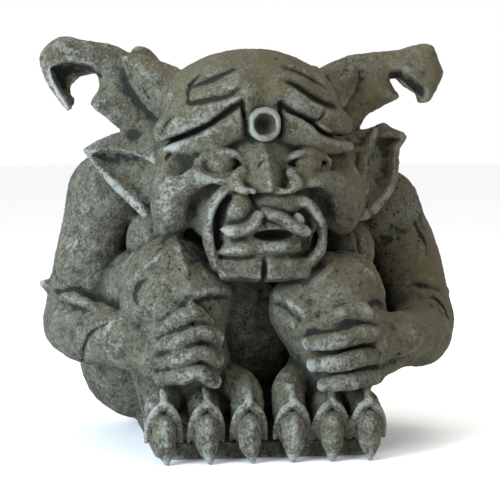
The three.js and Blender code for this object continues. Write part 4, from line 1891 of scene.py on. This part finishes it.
def cheeks() -> list[CheekSide]:
    """Returns the two cheeks."""
    left = CheekSide(
        mass=Egg((-60, -60, 174), (14, 18, 26)),
        roll=Limb(
            [(-17, -103, 186), (-31, -98, 187), (-46, -86, 186), (-58, -74, 177), (-58, -66, 160)], [4, 6, 9,
                11, 11]
        ),
        hollow=Limb(
            [(-25, -104, 176), (-34, -100, 174), (-42, -94, 168), (-45.5, -88, 158), (-43, -82, 146)],
            [4, 11, 17, 17, 12],
            [0.6, 0.4, 0.38, 0.4, 0.5],
        ),
        smile_fold=Limb(
            [(-20, -100, 181), (-28, -100, 177), (-35, -98, 168), (-37.5, -93, 157), (-37, -90, 144),
                (-33, -87, 131)],
            [6, 7.5, 8.5, 8.5, 8, 7],
            [0.55, 0.55, 0.52, 0.52, 0.52, 0.52],
        ),
        gutter=[(-24, 175), (-30, 166), (-32, 154), (-30, 138)],
    )
    right = CheekSide(
        mass=Egg((58, -60, 172), (14, 18, 26)),
        roll=Limb([(16, -102, 181), (29, -97, 183), (43, -86, 183), (54, -75, 175), (55, -66, 160)],
            [4, 6, 8, 10, 11]),
        hollow=Limb(
            [(22, -103, 174), (31, -98, 174), (39, -92, 169), (44, -86, 160), (44, -80, 147)],
            [4, 10, 15, 15, 12],
            [0.6, 0.42, 0.4, 0.42, 0.5],
        ),
        smile_fold=Limb(
            [(16, -101, 172), (25, -101, 169), (32, -99, 161), (37, -95, 151), (37, -91, 139),
                (28, -86, 126)],
            [6, 7.5, 8, 7.5, 7, 6],
            [0.6, 0.6, 0.58, 0.52, 0.5, 0.5],
        ),
        gutter=[(22, 166), (29, 158), (32, 148), (31, 139)],
    )
    return [left, right]


def eyes() -> list[EyeSide]:
    """Returns the two eyes."""
    left = EyeSide(
        brow=Limb([(-63, -60, 216), (-46, -82, 223), (-29, -91, 233), (-15, -93, 243)], [8, 9, 9, 7]),
        lid_roll=Limb([(-62, -68, 205), (-47, -84, 208), (-34, -93, 213), (-21, -97, 221)], [3.5, 7, 10, 11]),
        eye=(-29, -90.5, 195.5),
        upper_lid=[(-45, -86, 196), (-38, -94, 201), (-30, -98.5, 203), (-21, -99, 201.5), (-12, -96, 195)],
        lower_lid=[(-45, -86, 192), (-38, -93, 188), (-30, -97, 186.5), (-21, -98, 188.5), (-12, -97, 193.5)],
        socket=Egg((-29, -103, 195), (18, 13, 8.5)),
        temple=Egg((-57, -82, 195), (11, 9, 8)),
    )
    right = EyeSide(
        brow=Limb([(57, -60, 220), (42, -80, 225), (27, -89, 233), (12, -93, 243)], [8, 9, 9, 7]),
        lid_roll=Limb([(61, -66, 206), (47, -82, 208), (33, -92, 212.5), (17, -96, 219)], [3.5, 7, 10, 11]),
        eye=(28, -90, 196),
        upper_lid=[(11, -96, 196), (19, -99, 201), (28, -98, 203), (36, -94, 201), (44, -86, 197)],
        lower_lid=[(11, -97, 194), (20, -98, 190), (28, -97, 188.5), (36, -92, 190), (44, -86, 194)],
        socket=Egg((28, -103, 196), (17, 13, 8.5)),
        temple=Egg((48, -86, 196), (5, 6, 5)),
    )
    return [left, right]


def nose() -> Nose:
    """Returns the nose."""
    return Nose(
        bridge=Chip(
            [
                *[(-10, -94, 214), (4, -94, 214), (-3.5, -100, 212)],
                *[(-14, -97, 200), (7, -97, 200), (-2.5, -107, 200)],
                *[(-19, -100, 184), (12, -100, 184), (-0.5, -120.5, 184)],
                *[(-11, -104, 176), (8, -104, 176), (0.5, -118, 177)],
            ],
            round_off=2,
        ),
        wings=[
            Limb([(-17, -103, 190), (-21, -105, 184.5), (-18, -109, 179), (-11, -112, 177.5)],
                [4, 4.4, 3.6, 2.4]),
            Limb([(6, -111, 178), (12, -111, 179), (18.5, -107, 183), (15, -104, 189)], [2.6, 3.6, 4, 3.6]),
        ],
        nostrils=[Egg((-13, -114, 183), (4.2, 7, 3.2)), Egg((10, -114, 181.5), (4.5, 7, 2.6))],
    )


def mouth() -> Mouth:
    """Returns the mouth."""
    return Mouth(
        lumps=[Egg((-18, -97, 167), (10, 13, 12)), Egg((7, -97, 169), (16, 13, 12))],
        upper=[
            Limb(
                [(-31, -99, 152.5), (-24, -105, 151.5), (-17, -108, 152.5), (-11, -109, 156),
                    (-7, -109, 161), (-3, -108, 163)],
                [5, 7, 8, 8, 7, 6],
                [0.7, 0.62, 0.55, 0.52, 0.55, 0.6],
            ),
            Limb(
                [(-3, -108, 163), (5, -109, 161.5), (11, -108, 158.5), (17, -107, 154.5), (24, -103, 151.5),
                    (32, -97, 150.5)],
                [6, 7, 8, 8, 7, 5],
                [0.6, 0.6, 0.55, 0.55, 0.6, 0.7],
            ),
        ],
        lower=[
            Limb([(-26, -92, 139), (-16, -99, 140), (-8, -99, 143)], [6, 7.5, 6], [0.8, 0.8, 0.8]),
            Limb([(-5, -99, 141), (8, -99, 141.5), (19, -94, 142)], [7, 7.5, 6], [0.75, 0.7, 0.8]),
        ],
        bead=Egg((20, -108, 159.5), (4, 5, 4)),
        chins=[
            Chip(
                [
                    *[(-33, -80, 136), (-3, -88, 137), (-32, -94, 132), (-3, -102, 132.5)],
                    *[(-30, -93, 121), (-3, -101, 119), (-26, -80, 117), (-3, -84, 115), (-30, -66, 128),
                        (-3, -66, 124)],
                ],
                round_off=2,
            ),
            Chip(
                [
                    *[(31, -80, 136), (0, -88, 137), (30, -93, 132), (0, -102, 132.5)],
                    *[(28, -92, 120), (0, -101, 119), (24, -80, 117), (0, -84, 115), (30, -66, 128),
                        (0, -66, 124)],
                ],
                round_off=2,
            ),
        ],
        opening=Egg((5, -106, 148.5), (15, 16, 4)),
        pocket=Egg((28, -98, 141), (5, 12, 8)),
        cleft=Egg((-1.5, -106, 125), (2.0, 10, 12)),
    )


def furrows() -> Furrows:
    """Returns the furrows of the brow."""
    return Furrows(
        furrows=[
            ([(-48, 245), (-40, 248), (-28, 253), (-17, 258)], 3.2, 1.9),
            ([(-51, 234), (-38, 236.5), (-24, 240), (-15, 247)], 4.2, 2.3),
            ([(12, 259), (24, 255), (36, 249), (46, 243)], 2.6, 1.5),
            ([(8, 250), (20, 246), (31, 239), (42, 234), (52, 232)], 4.6, 2.5),
        ],
        creases=[
            [(-69, 206), (-60, 210), (-53, 213), (-38, 220), (-28, 227), (-20, 233), (-15, 236)],
            [(8, 235), (13, 232), (19, 228), (29, 223), (37, 216), (49, 212), (63, 213)],
        ],
        slots=[[(-15, 237), (-15.5, 227), (-14.5, 213)], [(8.5, 237), (9.5, 226), (9.5, 212)]],
    )


def cracks() -> Cracks:
    """Returns the cracks of the casting."""
    return Cracks(
        lines=[
            ([(-40, 255), (-45, 250), (-49, 244), (-50, 234)], (-125, -40)),
            ([(-58, 227), (-62, 223), (-65, 218), (-66, 212)], (-125, -40)),
            ([(40, 233), (39, 228), (35, 224), (30, 223)], (-125, -50)),
            ([(-1, 199), (-5, 196), (-7, 192)], (-125, -95)),
            ([(70, 148), (72, 142), (73, 133), (73, 127)], (-90, -20)),
            ([(119, 152), (123, 144), (127, 137), (128, 132), (127, 125)], (-60, 10)),
            ([(131, 99), (136, 94), (139, 89), (140, 83)], (-60, 0)),
            ([(-118, 57), (-119, 65), (-118, 73), (-115, 81), (-109, 86), (-103, 89), (-97, 90)], (-80, 0)),
            ([(77, 164), (81, 161), (85, 156)], (-70, -20)),
            ([(-60, 202), (-64, 197)], (-90, -40)),
            ([(-14, 178), (-11, 173), (-8, 168), (-4, 163)], (-125, -95)),
            ([(-4, 164), (-3, 159), (-2, 154)], (-125, -95)),
        ]
    )


def main() -> None:
    """Builds the gargoyle, dresses it and sets up the studio."""
    stone = WeatheredStoneWithPaintedShade().make()
    figure = Gargoyle()
    block = figure.carve()
    piece = figure.skin(block, stone)
    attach(piece, "root")
    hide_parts("gargoyle")
    log.info("dressed %s", piece.name)
    Studio().build()


if __name__ == "__main__":
    main()
